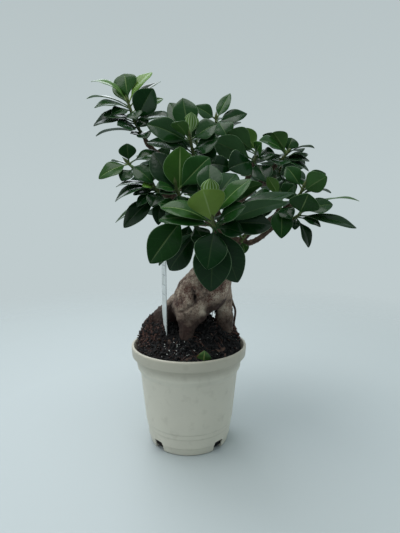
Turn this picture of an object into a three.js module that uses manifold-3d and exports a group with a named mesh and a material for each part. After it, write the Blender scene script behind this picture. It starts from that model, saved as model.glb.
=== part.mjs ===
// A ginseng ficus in its nursery pot, in millimetres, with +Z up.
// The origin is the middle of the pot's underside, on the surface that it stands on.
// +X is to the right of the front view and +Y goes away from the viewer.
// The plant is a swollen grey rootstock on thick root legs, a crown of grafted twigs
// on its sawn top, and a leafy shoot on the end of each twig.

import * as THREE from 'three';
import { mergeVertices } from 'three/addons/utils/BufferGeometryUtils.js';
import Module from 'manifold-3d';

const wasm = await Module();
wasm.setup();

// Driving dimensions

const JOINT_GAP = 0.35; // clearance where two separate pieces meet

const POT_SIDES = 32;
const POT_PROFILE = [ // radius and height, round the wall: outside going up, then inside going down
  [0, 0], [41.2, 0], [42.6, 7], [43.4, 7.6], [44.2, 17.6], [44.9, 18.2], [45.2, 22.8], [45.9, 23.6],
  [51.1, 75.5], [54.2, 80.5], [55.4, 91.4], [59.4, 92.6], [60, 102.3], [59, 103.3], [57.4, 103.3],
  [53.8, 92], [52.6, 81.5], [49.6, 77], [44, 22], [40.4, 2.2], [0, 2.2],
];
const NOTCH_COUNT = 4; // drainage notches through the foot
const NOTCH_WIDTH = 11.5;
const NOTCH_HEIGHT = 10;
const NOTCH_INNER_RADIUS = 37;

const SOIL_PROFILE = [ // radius and height of the soil's side, going up inside the pot
  [39.9, 2.6], [43.6, 22.2], [49.1, 77.2], [52.1, 81.8], [53.4, 92], [54.7, 97],
];
const SOIL_SECTORS = 24;
const SOIL_RINGS = [0.98, 0.84, 0.68, 0.5, 0.32, 0.15]; // shares of the top radius
const SOIL_LEVEL = 100.5;
const SOIL_HEAPS = [ // x, y, height, spread along x, spread along y
  [10, 8, 25, 32, 28],
  [-2, -24, 7, 16, 12],
  [-37, 16, 26, 17, 16],
  [-24, -4, 13, 11, 13],
  [44, 20, 11, 8, 8],
  [13, 4, 7, 8, 10],
  [22, 20, 5, 12, 12],
];

// Limbs of the rootstock: centre points with a radius each
const ROOTSTOCK_SIDES = 9;
const LEFT_LOBE = [
  [40, 6, 200, 10], [40, 6, 194, 11.2], [31, 5, 183, 15], [21, 4, 171, 19.5], [9, 0, 156, 21.5],
  [2, -5, 143, 18.5], [-1, -11, 130, 10.5], [-2, -16, 118, 6.8], [-2, -18, 104, 6.4], [-2, -19, 86, 5],
];
const RIGHT_LOBE = [
  [33, 6, 186, 12], [28, 4, 172, 16], [24, 0, 160, 17.5], [21, -3, 152, 14], [19, -4, 146, 9],
];
const RIGHT_LEG = [
  [30, 9, 168, 13], [35, 12, 150, 11], [37, 14, 134, 9.6], [38, 15, 118, 10], [38, 16, 104, 11],
  [38, 16, 88, 8],
];
const LEFT_REAR_ROOT = [
  [8, 8, 156, 12], [-8, 12, 143, 12.5], [-21, 15, 130, 13], [-33, 18, 116, 13.5], [-38, 20, 102, 10],
  [-38, 20, 88, 7],
];
const REAR_ROOT = [
  [18, 16, 152, 11], [9, 25, 136, 8.5], [2, 33, 118, 8.5], [-1, 37, 102, 8.5], [-2, 38, 86, 6],
];
const AERIAL_ROOT = [
  [42, 10, 152, 1.6], [47, 14, 143, 1.3], [50, 18, 132, 1.2], [49.5, 21, 120, 1.2], [48, 23, 96, 1.1],
];
const KNOT_HOLLOW = { centre: [6, -21, 155], radii: [4.5, 6, 7] };

// The graft crown on the sawn top, which every woody twig grows out of
const GRAFT_CROWN = [[40, 6, 200.4, 10], [40, 6, 206, 10.4], [41, 6, 213, 8.5], [41, 6, 219, 4]];
const TWIG_SIDES = 5;
const TWIG_TIP = 1.9;
// Twigs: first radius, points from the thick end, and the shoot that the twig carries
const TWIGS = [
  [4.2, [[38, 5, 212], [18, -2, 234], [-6, -10, 250]], 'lower_left'],
  [2.6, [[-6, -10, 250], [-20, -12, 262]], 'left'],
  [3.2, [[18, -2, 234], [0, 4, 262], [-20, 4, 288]], 'top_left'],
  [3.8, [[40, 6, 214], [26, 4, 246], [14, -2, 270]], 'upper'],
  [2.8, [[26, 4, 246], [26, 12, 280]], 'upper_right'],
  [2.6, [[18, -2, 236], [6, -22, 247]], 'centre'],
  [3.4, [[38, 0, 210], [34, -26, 210], [28, -50, 214]], 'front'],
  [2.6, [[34, -26, 210], [24, -36, 214]], 'front_left'],
  [3.2, [[44, 5, 209], [55, 3, 212], [66, 2, 221], [80, -2, 229], [92, -9, 240]], 'right'],
  [3.0, [[46, 3, 207], [62, 0, 208], [73, -4, 214], [86, -11, 226]], 'far_right'],
  [3.4, [[42, 8, 214], [52, 6, 250], [60, 3, 274]], 'right_top'],
  [2.8, [[52, 6, 250], [72, 8, 268]], 'right_back'],
  [3.4, [[42, 12, 210], [40, 40, 226]], 'back_left'],
  [3.2, [[44, 12, 212], [60, 34, 232]], 'back_right'],
  [2.4, [[26, 12, 276], [20, 34, 286]], 'back_top'],
  [2.6, [[0, 4, 262], [-12, 26, 266]], 'back_left_high'],
  [2.4, [[72, 8, 268], [86, 24, 270]], 'back_right_high'],
  [2.6, [[40, 38, 226], [12, 58, 226]], 'back_low'],
  [2.4, [[43, 2, 208]], 'sprout'],
  [2.4, [[80, -2, 229]], 'right_low'],
];

// Leafy shoots: name, stem points, posed leaves, and the count of leaves that a rule adds.
// A posed leaf is: share of the stem's length where it grows, the way from there to its tip
// in x, y and z, its width, how far its upper face leans to the viewer in degrees (0 is up,
// 90 is to the front), its bow as a share of its length and, where it isn't the usual one,
// the share of its blade where it is broadest.
const SHOOTS = [
  ['front', [[24.5, -65, 224], [22, -71, 234], [19, -73, 247]], [
    [0.16, -10, -24, 31, 32, -70, 0.06, 0.62], [1.00, 0, -3, 20, 16, -90, 0.02],
    [0.25, -40, -10, 22, 22, 40, 0.12], [0.55, 27, -6, 34, 20, 35, 0.06],
    [0.80, 43, 8, 22, 19, -50, 0.08], [0.20, 67, 8, 35, 21, 28, 0.06],
    [0.15, 56, -18, 24, 20, -40, 0.06], [0.15, 49, -8, 6, 26, 55, 0.08],
    [0.20, 21, -20, 19, 20, 50, 0.10], [0.12, -46, -8, 7, 19, 45, 0.14],
    [0.16, -6, -16, -34, 28, 80, 0.06, 0.48], [0.25, -2, 2, -58, 33, 80, 0.07, 0.5],
    [0.22, 24, 6, -51, 29, 75, 0.06, 0.5], [0.95, 0, 16, 35, 22, 80, 0.05],
    [0.90, 35, 24, 32, 22, 60, 0.06], [0.12, 24, -6, -5, 18, 50, 0.08],
  ], 2],
  ['front_left', [[13, -46, 222], [4, -49, 230], [-5, -51, 237]], [
    [0.90, -30, -8, -40, 30, 75, 0.06, 0.5], [0.20, -34, -14, -31, 15, -35, 0.06],
    [0.15, -28, 6, -42, 25, 70, 0.06], [1.00, -20, -6, 12, 18, 40, 0.10],
    [0.50, 12, -12, -18, 18, 60, 0.06], [0.30, -14, 4, -20, 16, 70, 0.06],
    [0.60, -6, 8, -20, 16, 80, 0.05], [0.90, -6, 6, 18, 18, 75, 0.06],
  ], 2],
  ['centre', [[-7, -40, 253], [-9, -45, 258], [-10, -49, 264]], [
    [0.15, 1, -2, 43, 30, 85, 0.03, 0.5], [0.60, 32, 6, 24, 25, 80, 0.05],
    [0.50, -16, -16, 4, 17, 40, 0.10], [0.15, 14, 2, 14, 20, 70, 0.05],
    [0.30, -14, -18, 1, 16, 35, 0.10], [0.15, -24, 12, 40, 24, 80, 0.05],
  ], 0],
  ['top_left', [[-43, 0, 311], [-52, -4, 327], [-58, -5, 345]], [
    [1.00, -33, -5, 19, 16, 28, 0.18], [1.00, -5, 8, 30, 23, 90, 0.04, 0.66],
    [1.00, 18, 12, 35, 15, 28, 0.10], [0.90, -16, 14, 27, 15, 60, 0.05],
    [0.90, 28, 14, 28, 15, 20, 0.08], [0.50, 18, -8, 29, 27, 75, 0.05, 0.52],
    [0.75, 29, 10, 16, 18, 42, 0.06], [0.90, -42, 4, 10, 16, 12, 0.10],
    [0.85, -30, -16, -2, 17, 35, 0.12], [0.80, -15, -16, -4, 15, 50, 0.08],
    [0.50, -38, -8, -4, 20, 45, 0.18], [0.60, -25, -16, 2, 19, 45, 0.08],
    [0.45, -28, 10, 6, 15, 5, 0.05], [0.32, -17, -22, 4, 19, 60, 0.06],
    [0.20, -44, -2, -2, 19, 8, 0.10], [0.45, 31, -10, 15, 19, 38, 0.12],
    [0.40, 33, 6, 8, 18, 15, 0.10], [0.08, -11, -8, 3, 11, 30, 0.10],
    [0.75, 6, -14, -9, 17, 70, 0.08], [0.55, 14, -8, -4, 16, 65, 0.10],
    [0.20, 7, -16, -7, 15, 60, 0.08],
  ], 0],
  ['upper', [[8, -13, 284], [5, -23, 295], [2, -28, 309]], [
    [1.00, -7, 8, 37, 24, 90, 0.03, 0.52], [0.95, -24, 18, 36, 17, 80, 0.05],
    [1.00, 1, -3, 21, 15, -90, 0.02], [0.90, 20, -8, 17, 24, 55, 0.06],
    [0.80, -38, -14, 15, 26, 60, 0.06], [0.90, -20, -18, 14, 15, -30, 0.10],
    [0.50, -28, -20, 14, 20, 55, 0.08], [0.60, 20, -16, 12, 27, 62, 0.08],
    [0.40, -44, 4, 14, 23, 35, 0.08], [0.85, -26, 8, 22, 18, 30, 0.08],
    [0.40, 2, -24, -10, 23, 60, 0.10], [0.50, 12, -24, -4, 24, 62, 0.08],
    [0.10, 34, 4, -6, 20, 65, 0.08],
  ], 2],
  ['upper_right', [[27, 14, 315], [28, 14, 326], [28, 14, 334]], [
    [1.00, -21, -4, 12, 18, 60, 0.06, 0.42], [1.00, 14, 8, 28, 14, 40, 0.03, 0.42],
    [0.80, 31, 2, 10, 17, 60, 0.06, 0.45], [0.10, 26, 8, 17, 11, 18, 0.04],
    [0.90, 10, -16, -18, 23, 65, 0.10],
  ], 3],
  ['right_top', [[65, 0, 288], [67, -2, 293], [69, -4, 298]], [
    [0.90, -29, -6, 20, 25, -60, 0.05, 0.6], [0.30, -41, -12, 17, 25, -60, 0.05],
    [1.00, -15, 4, 24, 18, -50, 0.06], [0.45, 16, -12, 4, 18, 50, 0.10],
    [0.20, -26, -22, -9, 29, 75, 0.10], [0.70, 2, -16, 10, 16, 60, 0.08],
    [0.15, 8, -18, -22, 22, 60, 0.08],
  ], 2],
  ['right_back', [[91, 8, 289], [97, 8, 295], [101, 8, 300]], [
    [0.95, -15, -6, 19, 20, -50, 0.08], [0.80, -30, -14, 12, 21, 45, 0.10],
    [0.90, 29, 6, 8, 15, 0, 0.12], [0.95, 6, 2, 15, 18, 60, 0.06],
    [0.50, 24, -4, 5, 19, 10, 0.08], [0.35, 28, -2, 0, 18, 30, 0.08],
    [0.25, 26, -12, -10, 20, 20, 0.08], [0.15, -4, -24, -6, 20, 45, 0.10],
    [0.90, -22, 8, 20, 17, -40, 0.08], [0.05, -14, -16, -16, 22, 60, 0.08],
    [0.40, -28, -10, -2, 18, 45, 0.10],
  ], 3],
  ['right', [[104, -21, 252], [107, -24, 257], [109, -26, 263]], [
    [0.70, 21, -6, 14, 24, -65, 0.05, 0.5], [0.90, 22, 6, 15, 19, -65, 0.05],
    [0.90, -14, 4, 21, 17, 70, 0.06], [0.30, 36, 10, 11, 15, 5, 0.10],
    [0.30, -22, 16, 10, 18, 60, 0.08],
    [0.15, -10, -4, 14, 16, 70, 0.05],
  ], 2],
  ['far_right', [[101, -23, 233], [105, -26, 236], [108, -28, 241]], [
    [0.90, 28, -4, 8, 19, 50, 0.08], [0.95, 61, 10, 13, 15, 0, 0.11],
    [0.60, 53, -6, -11, 16, 38, 0.06], [0.40, 22, -4, -8, 14, 30, 0.08],
    [0.30, 13, -2, -28, 15, 30, 0.12], [0.25, -4, -5, -11, 9, 60, 0.08],
    [0.70, 4, -16, 18, 29, 75, 0.06],
  ], 2],
  ['right_low', [[88, -18, 243], [89, -22, 248], [88, -26, 254]], [
    [0.50, -1, -12, -32, 21, 80, 0.06, 0.5], [0.90, -13, -4, 20, 12, -40, 0.06],
    [0.70, -26, -8, 4, 19, 45, 0.10], [0.80, 10, -14, 10, 18, 60, 0.08],
    [0.20, 8, -18, -8, 16, 65, 0.08], [0.20, -24, 0, -6, 16, 60, 0.08],
  ], 1],
  ['left', [[-37, -18, 266], [-47, -20, 276], [-57, -21, 286]], [
    [1.00, -1, -3, 17, 17, 85, 0.04], [0.97, -27, -8, -13, 20, 45, 0.06, 0.42],
    [0.95, 30, -2, 8, 19, 38, 0.12], [0.90, 22, -10, -17, 17, 60, 0.08, 0.45],
    [0.75, -10, -10, -11, 15, 60, 0.06],
  ], 2],
  ['lower_left', [[-24, -18, 257], [-29, -22, 260], [-33, -24, 265]], [
    [0.60, -38, -10, -10, 17, 32, 0.20], [0.80, -36, -4, -2, 16, 15, 0.12],
    [0.50, -19, -10, -14, 13, 40, 0.12], [0.95, -9, -10, 0, 10, 55, 0.08],
    [0.35, -34, -8, -33, 20, 60, 0.05], [0.30, -47, 12, -28, 13, 30, 0.02],
    [0.20, -5, -10, -29, 13, 40, 0.10], [0.30, -8, -18, -14, 17, 60, 0.08],
    [0.95, -8, -4, 20, 20, 70, 0.06], [0.55, -22, -6, -3, 12, 40, 0.10],
  ], 2],
  ['back_left', [[24, 62, 246], [16, 70, 254], [10, 76, 264]], [], 9],
  ['back_right', [[78, 56, 250], [86, 64, 258], [92, 68, 268]], [], 9],
  ['back_top', [[14, 50, 300], [10, 54, 308], [8, 56, 316]], [], 8],
  ['back_left_high', [[-26, 42, 274], [-32, 46, 280], [-36, 48, 288]], [], 8],
  ['back_right_high', [[92, 34, 276], [98, 40, 280], [100, 42, 286]], [], 8],
  ['back_low', [[-14, 66, 232], [-20, 70, 236], [-24, 72, 242]], [], 8],
  ['sprout', [[52, -2, 209], [54, -4, 211], [56, -5, 214]], [
    [0.50, 3, -5, -11, 11, 75, 0.04, 0.5], [1.00, -5, -6, 4, 7, 40, 0.08],
  ], 0],
];

const STEM_BASE = 1.7; // radius of a green stem at its foot and at its tip
const STEM_TIP = 1.2;
const STEM_SIDES = 6;

const FOOT_OUT = 0.8; // a leaf's foot lies this far off the stem's axis
const FOOT_BACK = 1; // and this far down it
const PETIOLE = 5; // length of a leaf's stalk, at most the next share of the leaf
const PETIOLE_SHARE = 0.14;
const PETIOLE_HALF = 0.8;
const PETIOLE_THICKNESS = 1.3;
const BLADE_THICKNESS = 0.7;
const BROADEST = 0.55; // usual share of the blade where it is broadest
const FOLD = 0.16; // rise of the blade from its midrib to its margin, per mm
const POSED_STATIONS = [0.12, 0.42, 0.76, 1]; // places along the blade where its outline bends
const RULE_STATIONS = [0.28, 0.72, 1];

const GOLDEN_ANGLE = 137.5;
const RULE_LEAF = { length: 42, lengthFall: 10, width: 24, widthFall: 5, bow: 0.09 };

// Leaves of different shoots stay this far apart, measured between their middle surfaces
const LEAF_CLEARANCE = 1.7;
const OWN_CLEARANCE = 1.0;
const OWN_START = 15; // leaves of one shoot may meet nearer than this to the stem
const WOOD_CLEARANCE = 0.9;
const EDGE = 1.5;

const LABEL = { foot: [-25, -7, 106], height: 92, width: 13, thickness: 0.8, point: 30, turn: -67 };
const FALLEN_LEAF = { foot: [15, -47], tip: [16, -50], rise: 12, width: 14, lift: 0.9, lean: 60 };

// Small vector tools on plain arrays

const add = (a, b) => [a[0] + b[0], a[1] + b[1], a[2] + b[2]];
const sub = (a, b) => [a[0] - b[0], a[1] - b[1], a[2] - b[2]];
const times = (a, k) => [a[0] * k, a[1] * k, a[2] * k];
const dot = (a, b) => a[0] * b[0] + a[1] * b[1] + a[2] * b[2];
const cross = (a, b) => [a[1] * b[2] - a[2] * b[1], a[2] * b[0] - a[0] * b[2], a[0] * b[1] - a[1] * b[0]];
const size = (a) => Math.sqrt(dot(a, a));
const unit = (a) => times(a, 1 / size(a));
const radians = (degrees) => degrees * Math.PI / 180;
const clamp = (value, low, high) => Math.min(high, Math.max(low, value));

/** Point and direction at a share of the length of a polyline. */
function along(points, share) {
  const steps = points.slice(1).map((point, i) => size(sub(point, points[i])));
  let left = share * steps.reduce((sum, step) => sum + step, 0);
  let i = 0;
  while (i < steps.length - 1 && left >= steps[i]) {
    left -= steps[i];
    i += 1;
  }
  const way = sub(points[i + 1], points[i]);
  return { point: add(points[i], times(way, left / steps[i])), direction: unit(way) };
}

// Solids

/** A closed geometry as a solid that can be joined and cut. */
function solid(geometry) {
  geometry.deleteAttribute('normal');
  geometry.deleteAttribute('uv');
  const merged = mergeVertices(geometry, 1e-4);
  return new wasm.Manifold(new wasm.Mesh({
    numProp: 3,
    vertProperties: new Float32Array(merged.attributes.position.array),
    triVerts: new Uint32Array(merged.index.array),
  }));
}

/** A solid as a geometry again. */
function geometryOf(body) {
  const mesh = body.getMesh();
  const geometry = new THREE.BufferGeometry();
  geometry.setAttribute('position', new THREE.BufferAttribute(new Float32Array(mesh.vertProperties), 3));
  geometry.setIndex(new THREE.BufferAttribute(new Uint32Array(mesh.triVerts), 1));
  geometry.computeVertexNormals();
  return geometry;
}

/** The curve through a limb's centre points, and its radius at a share of the points. */
function limbLine(points) {
  const curve = new THREE.CatmullRomCurve3(points.map(([x, y, z]) => new THREE.Vector3(x, y, z)));
  const radiusAt = (share) => {
    const place = clamp(share, 0, 1) * (points.length - 1);
    const i = Math.min(Math.floor(place), points.length - 2);
    return points[i][3] + (points[i + 1][3] - points[i][3]) * (place - i);
  };
  return { curve, radiusAt };
}

/** A round limb with a changing radius: a cylinder bent along the curve of its points. */
function limb(points, sides, stepsEach, grow = 0) {
  const { curve, radiusAt } = limbLine(points);
  const steps = (points.length - 1) * stepsEach;
  const geometry = new THREE.CylinderGeometry(1, 1, 1, sides, steps);
  const position = geometry.attributes.position;
  const overall = new THREE.Vector3().subVectors(curve.getPoint(1), curve.getPoint(0));
  const across = Math.abs(overall.x) < Math.abs(overall.y)
    ? new THREE.Vector3(1, 0, 0) : new THREE.Vector3(0, 1, 0);
  for (let i = 0; i < position.count; i += 1) {
    const share = clamp(position.getY(i) + 0.5, 0, 1);
    const centre = curve.getPoint(share);
    const tangent = curve.getTangent(share);
    const side = new THREE.Vector3().crossVectors(across, tangent).normalize();
    const other = new THREE.Vector3().crossVectors(side, tangent).normalize();
    const radius = radiusAt(share) + grow;
    centre.addScaledVector(side, position.getX(i) * radius);
    centre.addScaledVector(other, position.getZ(i) * radius);
    position.setXYZ(i, centre.x, centre.y, centre.z);
  }
  const body = solid(geometry);
  return body.volume() < 0 ? solid(flipped(geometry)) : body;
}

/** The same geometry with its faces turned over. */
function flipped(geometry) {
  const index = geometry.index.array;
  for (let i = 0; i < index.length; i += 3) {
    [index[i], index[i + 1]] = [index[i + 1], index[i]];
  }
  return geometry;
}

const joined = (bodies) => bodies.reduce((whole, body) => whole.add(body));

// Leaves: each is a height over its own flat plane, with a along the leaf and b across it

/** Half of the leaf's width at the distance a from its foot: a sine that peaks where it is broadest. */
function halfWidth(leaf, a) {
  if (a < leaf.petiole) return PETIOLE_HALF;
  const t = clamp((a - leaf.petiole) / (leaf.length - leaf.petiole), 1e-9, 1);
  const shifted = t ** (Math.log(0.5) / Math.log(leaf.broadest));
  const blade = leaf.width / 2 * Math.max(Math.sin(Math.PI * shifted), 0) ** (1 - 0.25 * t);
  return Math.max(blade, PETIOLE_HALF * (1 - t));
}

/** Height of the leaf's middle surface over its plane: a bow along it and a fold at its midrib. */
function leafHeight(leaf, a, b) {
  const t = clamp(a / leaf.length, 0, 1);
  return 4 * leaf.bow * leaf.length * t * (1 - t) + FOLD * Math.abs(b);
}

/** A point of the leaf's middle surface, raised by a distance off it. */
function leafPoint(leaf, a, b, rise = 0) {
  const flat = add(leaf.foot, add(times(leaf.way, a), times(leaf.side, b)));
  return add(flat, times(leaf.up, leafHeight(leaf, a, b) + rise));
}

/** The upper face's wanted direction: up, leaned to the viewer, or following the stem. */
function facing(lean, axis) {
  if (lean === null) return add(times(axis, 0.6), [0, 0, 0.4]);
  return [0, -Math.sin(radians(lean)), Math.cos(radians(lean))];
}

function makeLeaf(shoot, foot, axis, reach, width, lean, bow, broadest = BROADEST) {
  const length = size(reach);
  const way = unit(reach);
  const wanted = facing(lean, axis);
  const up = unit(sub(wanted, times(way, dot(wanted, way))));
  const leaf = { shoot, foot, way, up, side: cross(way, up), length, width, bow, broadest };
  leaf.petiole = Math.min(PETIOLE, PETIOLE_SHARE * length);
  leaf.middle = add(foot, times(way, length / 2));
  leaf.reach = length / 2 + 4;
  leaf.grid = [];
  for (let i = 0; i <= 10; i += 1) {
    const a = length * i / 10;
    const half = halfWidth(leaf, a);
    leaf.grid.push([-1, -0.5, 0, 0.5, 1].map((share) => leafPoint(leaf, a, share * half)));
  }
  return leaf;
}

/** Whether a net of points comes too near to a leaf's surface or passes through it. */
function netCrosses(net, leaf, clearance, start) {
  const gaps = net.map((row) => row.map((point) => {
    const from = sub(point, leaf.foot);
    const a = dot(from, leaf.way);
    const b = dot(from, leaf.side);
    const inside = a > start && a < leaf.length + EDGE && Math.abs(b) < halfWidth(leaf, a) + EDGE
      && (start === 0 || size(from) > start);
    return inside ? dot(from, leaf.up) - leafHeight(leaf, a, b) : null;
  }));
  const passes = (g, h) => g !== null && h !== null && g * h < 0;
  return gaps.some((row, i) => row.some((gap, j) => (gap !== null && Math.abs(gap) < clearance)
    || (i > 0 && passes(gap, gaps[i - 1][j])) || (j > 0 && passes(gap, row[j - 1]))));
}

function leavesClash(one, other) {
  if (size(sub(one.middle, other.middle)) > one.reach + other.reach) return false;
  const own = one.shoot === other.shoot;
  const start = own ? OWN_START : 0;
  const clearance = own ? OWN_CLEARANCE : LEAF_CLEARANCE;
  const cut = (leaf) => (own ? leaf.grid.slice(4) : leaf.grid);
  return netCrosses(cut(one), other, clearance, start) || netCrosses(cut(other), one, clearance, start);
}

/** Whether a leaf comes too near to a row of balls that fill a stem, twig or root. */
function touchesWood(leaf, rows) {
  return rows.some(({ shoot, balls }) => shoot !== leaf.shoot && balls.some(([x, y, z, radius]) => {
    const from = sub([x, y, z], leaf.foot);
    const a = dot(from, leaf.way);
    const b = dot(from, leaf.side);
    const margin = radius + WOOD_CLEARANCE;
    return a > 0 && a < leaf.length + margin && Math.abs(b) < halfWidth(leaf, a) + margin
      && Math.abs(dot(from, leaf.up) - leafHeight(leaf, a, b)) < margin;
  }));
}

/** Balls along a limb, close enough to stand for it. */
function ballsAlong(points, spacing = 2) {
  const { curve, radiusAt } = limbLine(points);
  const count = Math.ceil(curve.getLength() / spacing) + 1;
  return Array.from({ length: count + 1 }, (_, i) => {
    const at = curve.getPoint(i / count);
    return [at.x, at.y, at.z, radiusAt(i / count)];
  });
}

/** A stem's points with its radius at each. */
function stemLimb(points) {
  const last = points.length - 1;
  return points.map((point, i) => [...point, STEM_BASE + (STEM_TIP - STEM_BASE) * i / last]);
}

/** A twig's points with radii, led straight into the foot of its shoot with a small gap. */
function twigLimb([radius, points, shootName]) {
  const stem = SHOOTS.find(([name]) => name === shootName)[1];
  const { point, direction } = along(stem, 0);
  const all = [...points, add(point, times(direction, -6)), add(point, times(direction, -JOINT_GAP))];
  const last = all.length - 1;
  return all.map((place, i) => [...place, radius + (TWIG_TIP - radius) * i / last]);
}

/** The small turns, sideways and up, that a leaf tries in order until it is clear. */
const COMPASS = [
  [0, 1], [0, -1], [1, 0], [-1, 0], [0.7, 0.7], [-0.7, 0.7], [0.7, -0.7], [-0.7, -0.7],
];
const TURNS = [[0, 0]];
for (const step of [0.1, 0.2, 0.32, 0.45]) {
  for (const [sideways, up] of COMPASS) TURNS.push([sideways * step, up * step]);
}

/** Every leaf that is wanted: the posed ones first, then the ones that the rule adds. */
function wantedLeaves() {
  const wanted = [];
  for (const [shoot, stem, posed] of SHOOTS) {
    for (const [share, x, y, z, width, lean, bow, broadest] of posed) {
      const { point, direction } = along(stem, share);
      wanted.push({ shoot, point, axis: direction, reach: [x, y, z], width, lean, bow, broadest });
    }
  }
  SHOOTS.forEach(([shoot, stem, posed, count], order) => {
    for (let j = 0; j < count; j += 1) {
      const share = (j + 0.5) / count;
      const { point, direction } = along(stem, 0.15 + 0.85 * share);
      const turn = radians(GOLDEN_ANGLE * j + 57 * order);
      const behind = radians(90 + 60 * Math.sin(turn));
      const azimuth = posed.length ? behind : turn;
      const tilt = radians(posed.length ? -5 + 25 * share : -14 + 74 * share);
      const way = [Math.cos(tilt) * Math.cos(azimuth), Math.cos(tilt) * Math.sin(azimuth), Math.sin(tilt)];
      const length = RULE_LEAF.length - RULE_LEAF.lengthFall * share;
      const width = RULE_LEAF.width - RULE_LEAF.widthFall * share;
      const lean = posed.length ? 0 : null;
      const reach = times(way, length);
      wanted.push({ shoot, point, axis: direction, reach, width, lean, bow: RULE_LEAF.bow });
    }
  });
  return wanted;
}

/** Each wanted leaf, turned a little or made smaller where it would cross what is there. */
function placeLeaves(woodRows) {
  const placed = [];
  for (const { shoot, point, axis, reach, width, lean, bow, broadest } of wantedLeaves()) {
    const length = size(reach);
    const way = unit(reach);
    const sideways = unit(cross(way, add(axis, [0.001, 0.001, 0.001])));
    const upwards = cross(sideways, way);
    const outward = unit(sub(add(reach, [0.01, 0.01, 0]), times(axis, dot(reach, axis))));
    const foot = add(point, sub(times(outward, FOOT_OUT), times(axis, FOOT_BACK)));
    const tries = [1, 0.85, 0.7].flatMap((scale) => TURNS.map(([p, q]) => ({ scale, p, q })));
    for (const { scale, p, q } of tries) {
      const turned = unit(add(way, add(times(sideways, p), times(upwards, q))));
      const tried = times(turned, length * scale);
      const leaf = makeLeaf(shoot, foot, axis, tried, width * scale, lean, bow, broadest);
      if (placed.some((other) => leavesClash(leaf, other)) || touchesWood(leaf, woodRows)) continue;
      leaf.posed = lean !== null;
      placed.push(leaf);
      break;
    }
  }
  return placed;
}

/**
 * The leaf as a folded and bowed plate on its stalk, split alike on both faces.
 * Each row has three columns, but the first row, in the stem, and the tip have one, and the
 * blade runs straight on from the first row, so that the stalk is a narrow wedge.
 */
function leafSolid(leaf) {
  const stations = leaf.posed ? POSED_STATIONS : RULE_STATIONS;
  const rows = [0, ...stations.map((t) => leaf.petiole + t * (leaf.length - leaf.petiole))];
  const tip = rows.length - 1;
  const single = (i) => i === 0 || i === tip;
  const vertices = [];
  rows.forEach((a, i) => {
    const half = halfWidth(leaf, a);
    const thick = i === 0 ? PETIOLE_THICKNESS : BLADE_THICKNESS;
    const columns = single(i) ? [0] : [-half, 0, half];
    for (const rise of [thick / 2, -thick / 2]) {
      columns.forEach((b) => vertices.push(...leafPoint(leaf, a, b, rise)));
    }
  });
  const first = (i) => (i === 0 ? 0 : 6 * i - 4);
  const above = (i, j) => first(i) + (single(i) ? 0 : j);
  const below = (i, j) => first(i) + (single(i) ? 1 : 3 + j);
  const faces = [];
  const face = (...corners) => {
    if (new Set(corners).size === 3) faces.push(...corners);
  };
  for (let i = 0; i < tip; i += 1) {
    for (let j = 0; j < 2; j += 1) {
      face(above(i, j), above(i, j + 1), above(i + 1, j + 1));
      face(above(i, j), above(i + 1, j + 1), above(i + 1, j));
      face(below(i, j), below(i + 1, j + 1), below(i, j + 1));
      face(below(i, j), below(i + 1, j), below(i + 1, j + 1));
    }
    face(above(i, 0), above(i + 1, 0), below(i + 1, 0));
    face(above(i, 0), below(i + 1, 0), below(i, 0));
    face(above(i, 2), below(i + 1, 2), above(i + 1, 2));
    face(above(i, 2), below(i, 2), below(i + 1, 2));
  }
  const geometry = new THREE.BufferGeometry();
  geometry.setAttribute('position', new THREE.BufferAttribute(new Float32Array(vertices), 3));
  geometry.setIndex(faces);
  return solid(geometry);
}

// The pot

function potSolid() {
  const profile = POT_PROFILE.map(([radius, height]) => new THREE.Vector2(radius, height));
  const lathe = new THREE.LatheGeometry(profile, POT_SIDES);
  lathe.rotateX(Math.PI / 2);
  let pot = solid(lathe);
  if (pot.volume() < 0) pot = solid(flipped(lathe));
  for (let i = 0; i < NOTCH_COUNT; i += 1) {
    const cutter = new THREE.BoxGeometry(20, NOTCH_WIDTH, 2 * NOTCH_HEIGHT);
    cutter.translate(NOTCH_INNER_RADIUS + 10, 0, 0);
    cutter.rotateZ(radians(45 + 90 * i));
    pot = pot.subtract(solid(cutter));
  }
  return pot;
}

// The soil

/** Height of the soil's surface: a level with heaps round the roots, and crumbs. */
function soilHeight(x, y) {
  let height = SOIL_LEVEL + 2.5 * y / 60;
  for (const [cx, cy, rise, spreadX, spreadY] of SOIL_HEAPS) {
    height += rise * Math.exp(-(((x - cx) / spreadX) ** 2) - ((y - cy) / spreadY) ** 2);
  }
  const crumbs = 0.7 * Math.sin(x / 5.1 + 1) * Math.cos(y / 4.3);
  return height + crumbs + 0.4 * Math.sin(x / 2.9) * Math.sin(y / 3.3 + 2);
}

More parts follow.
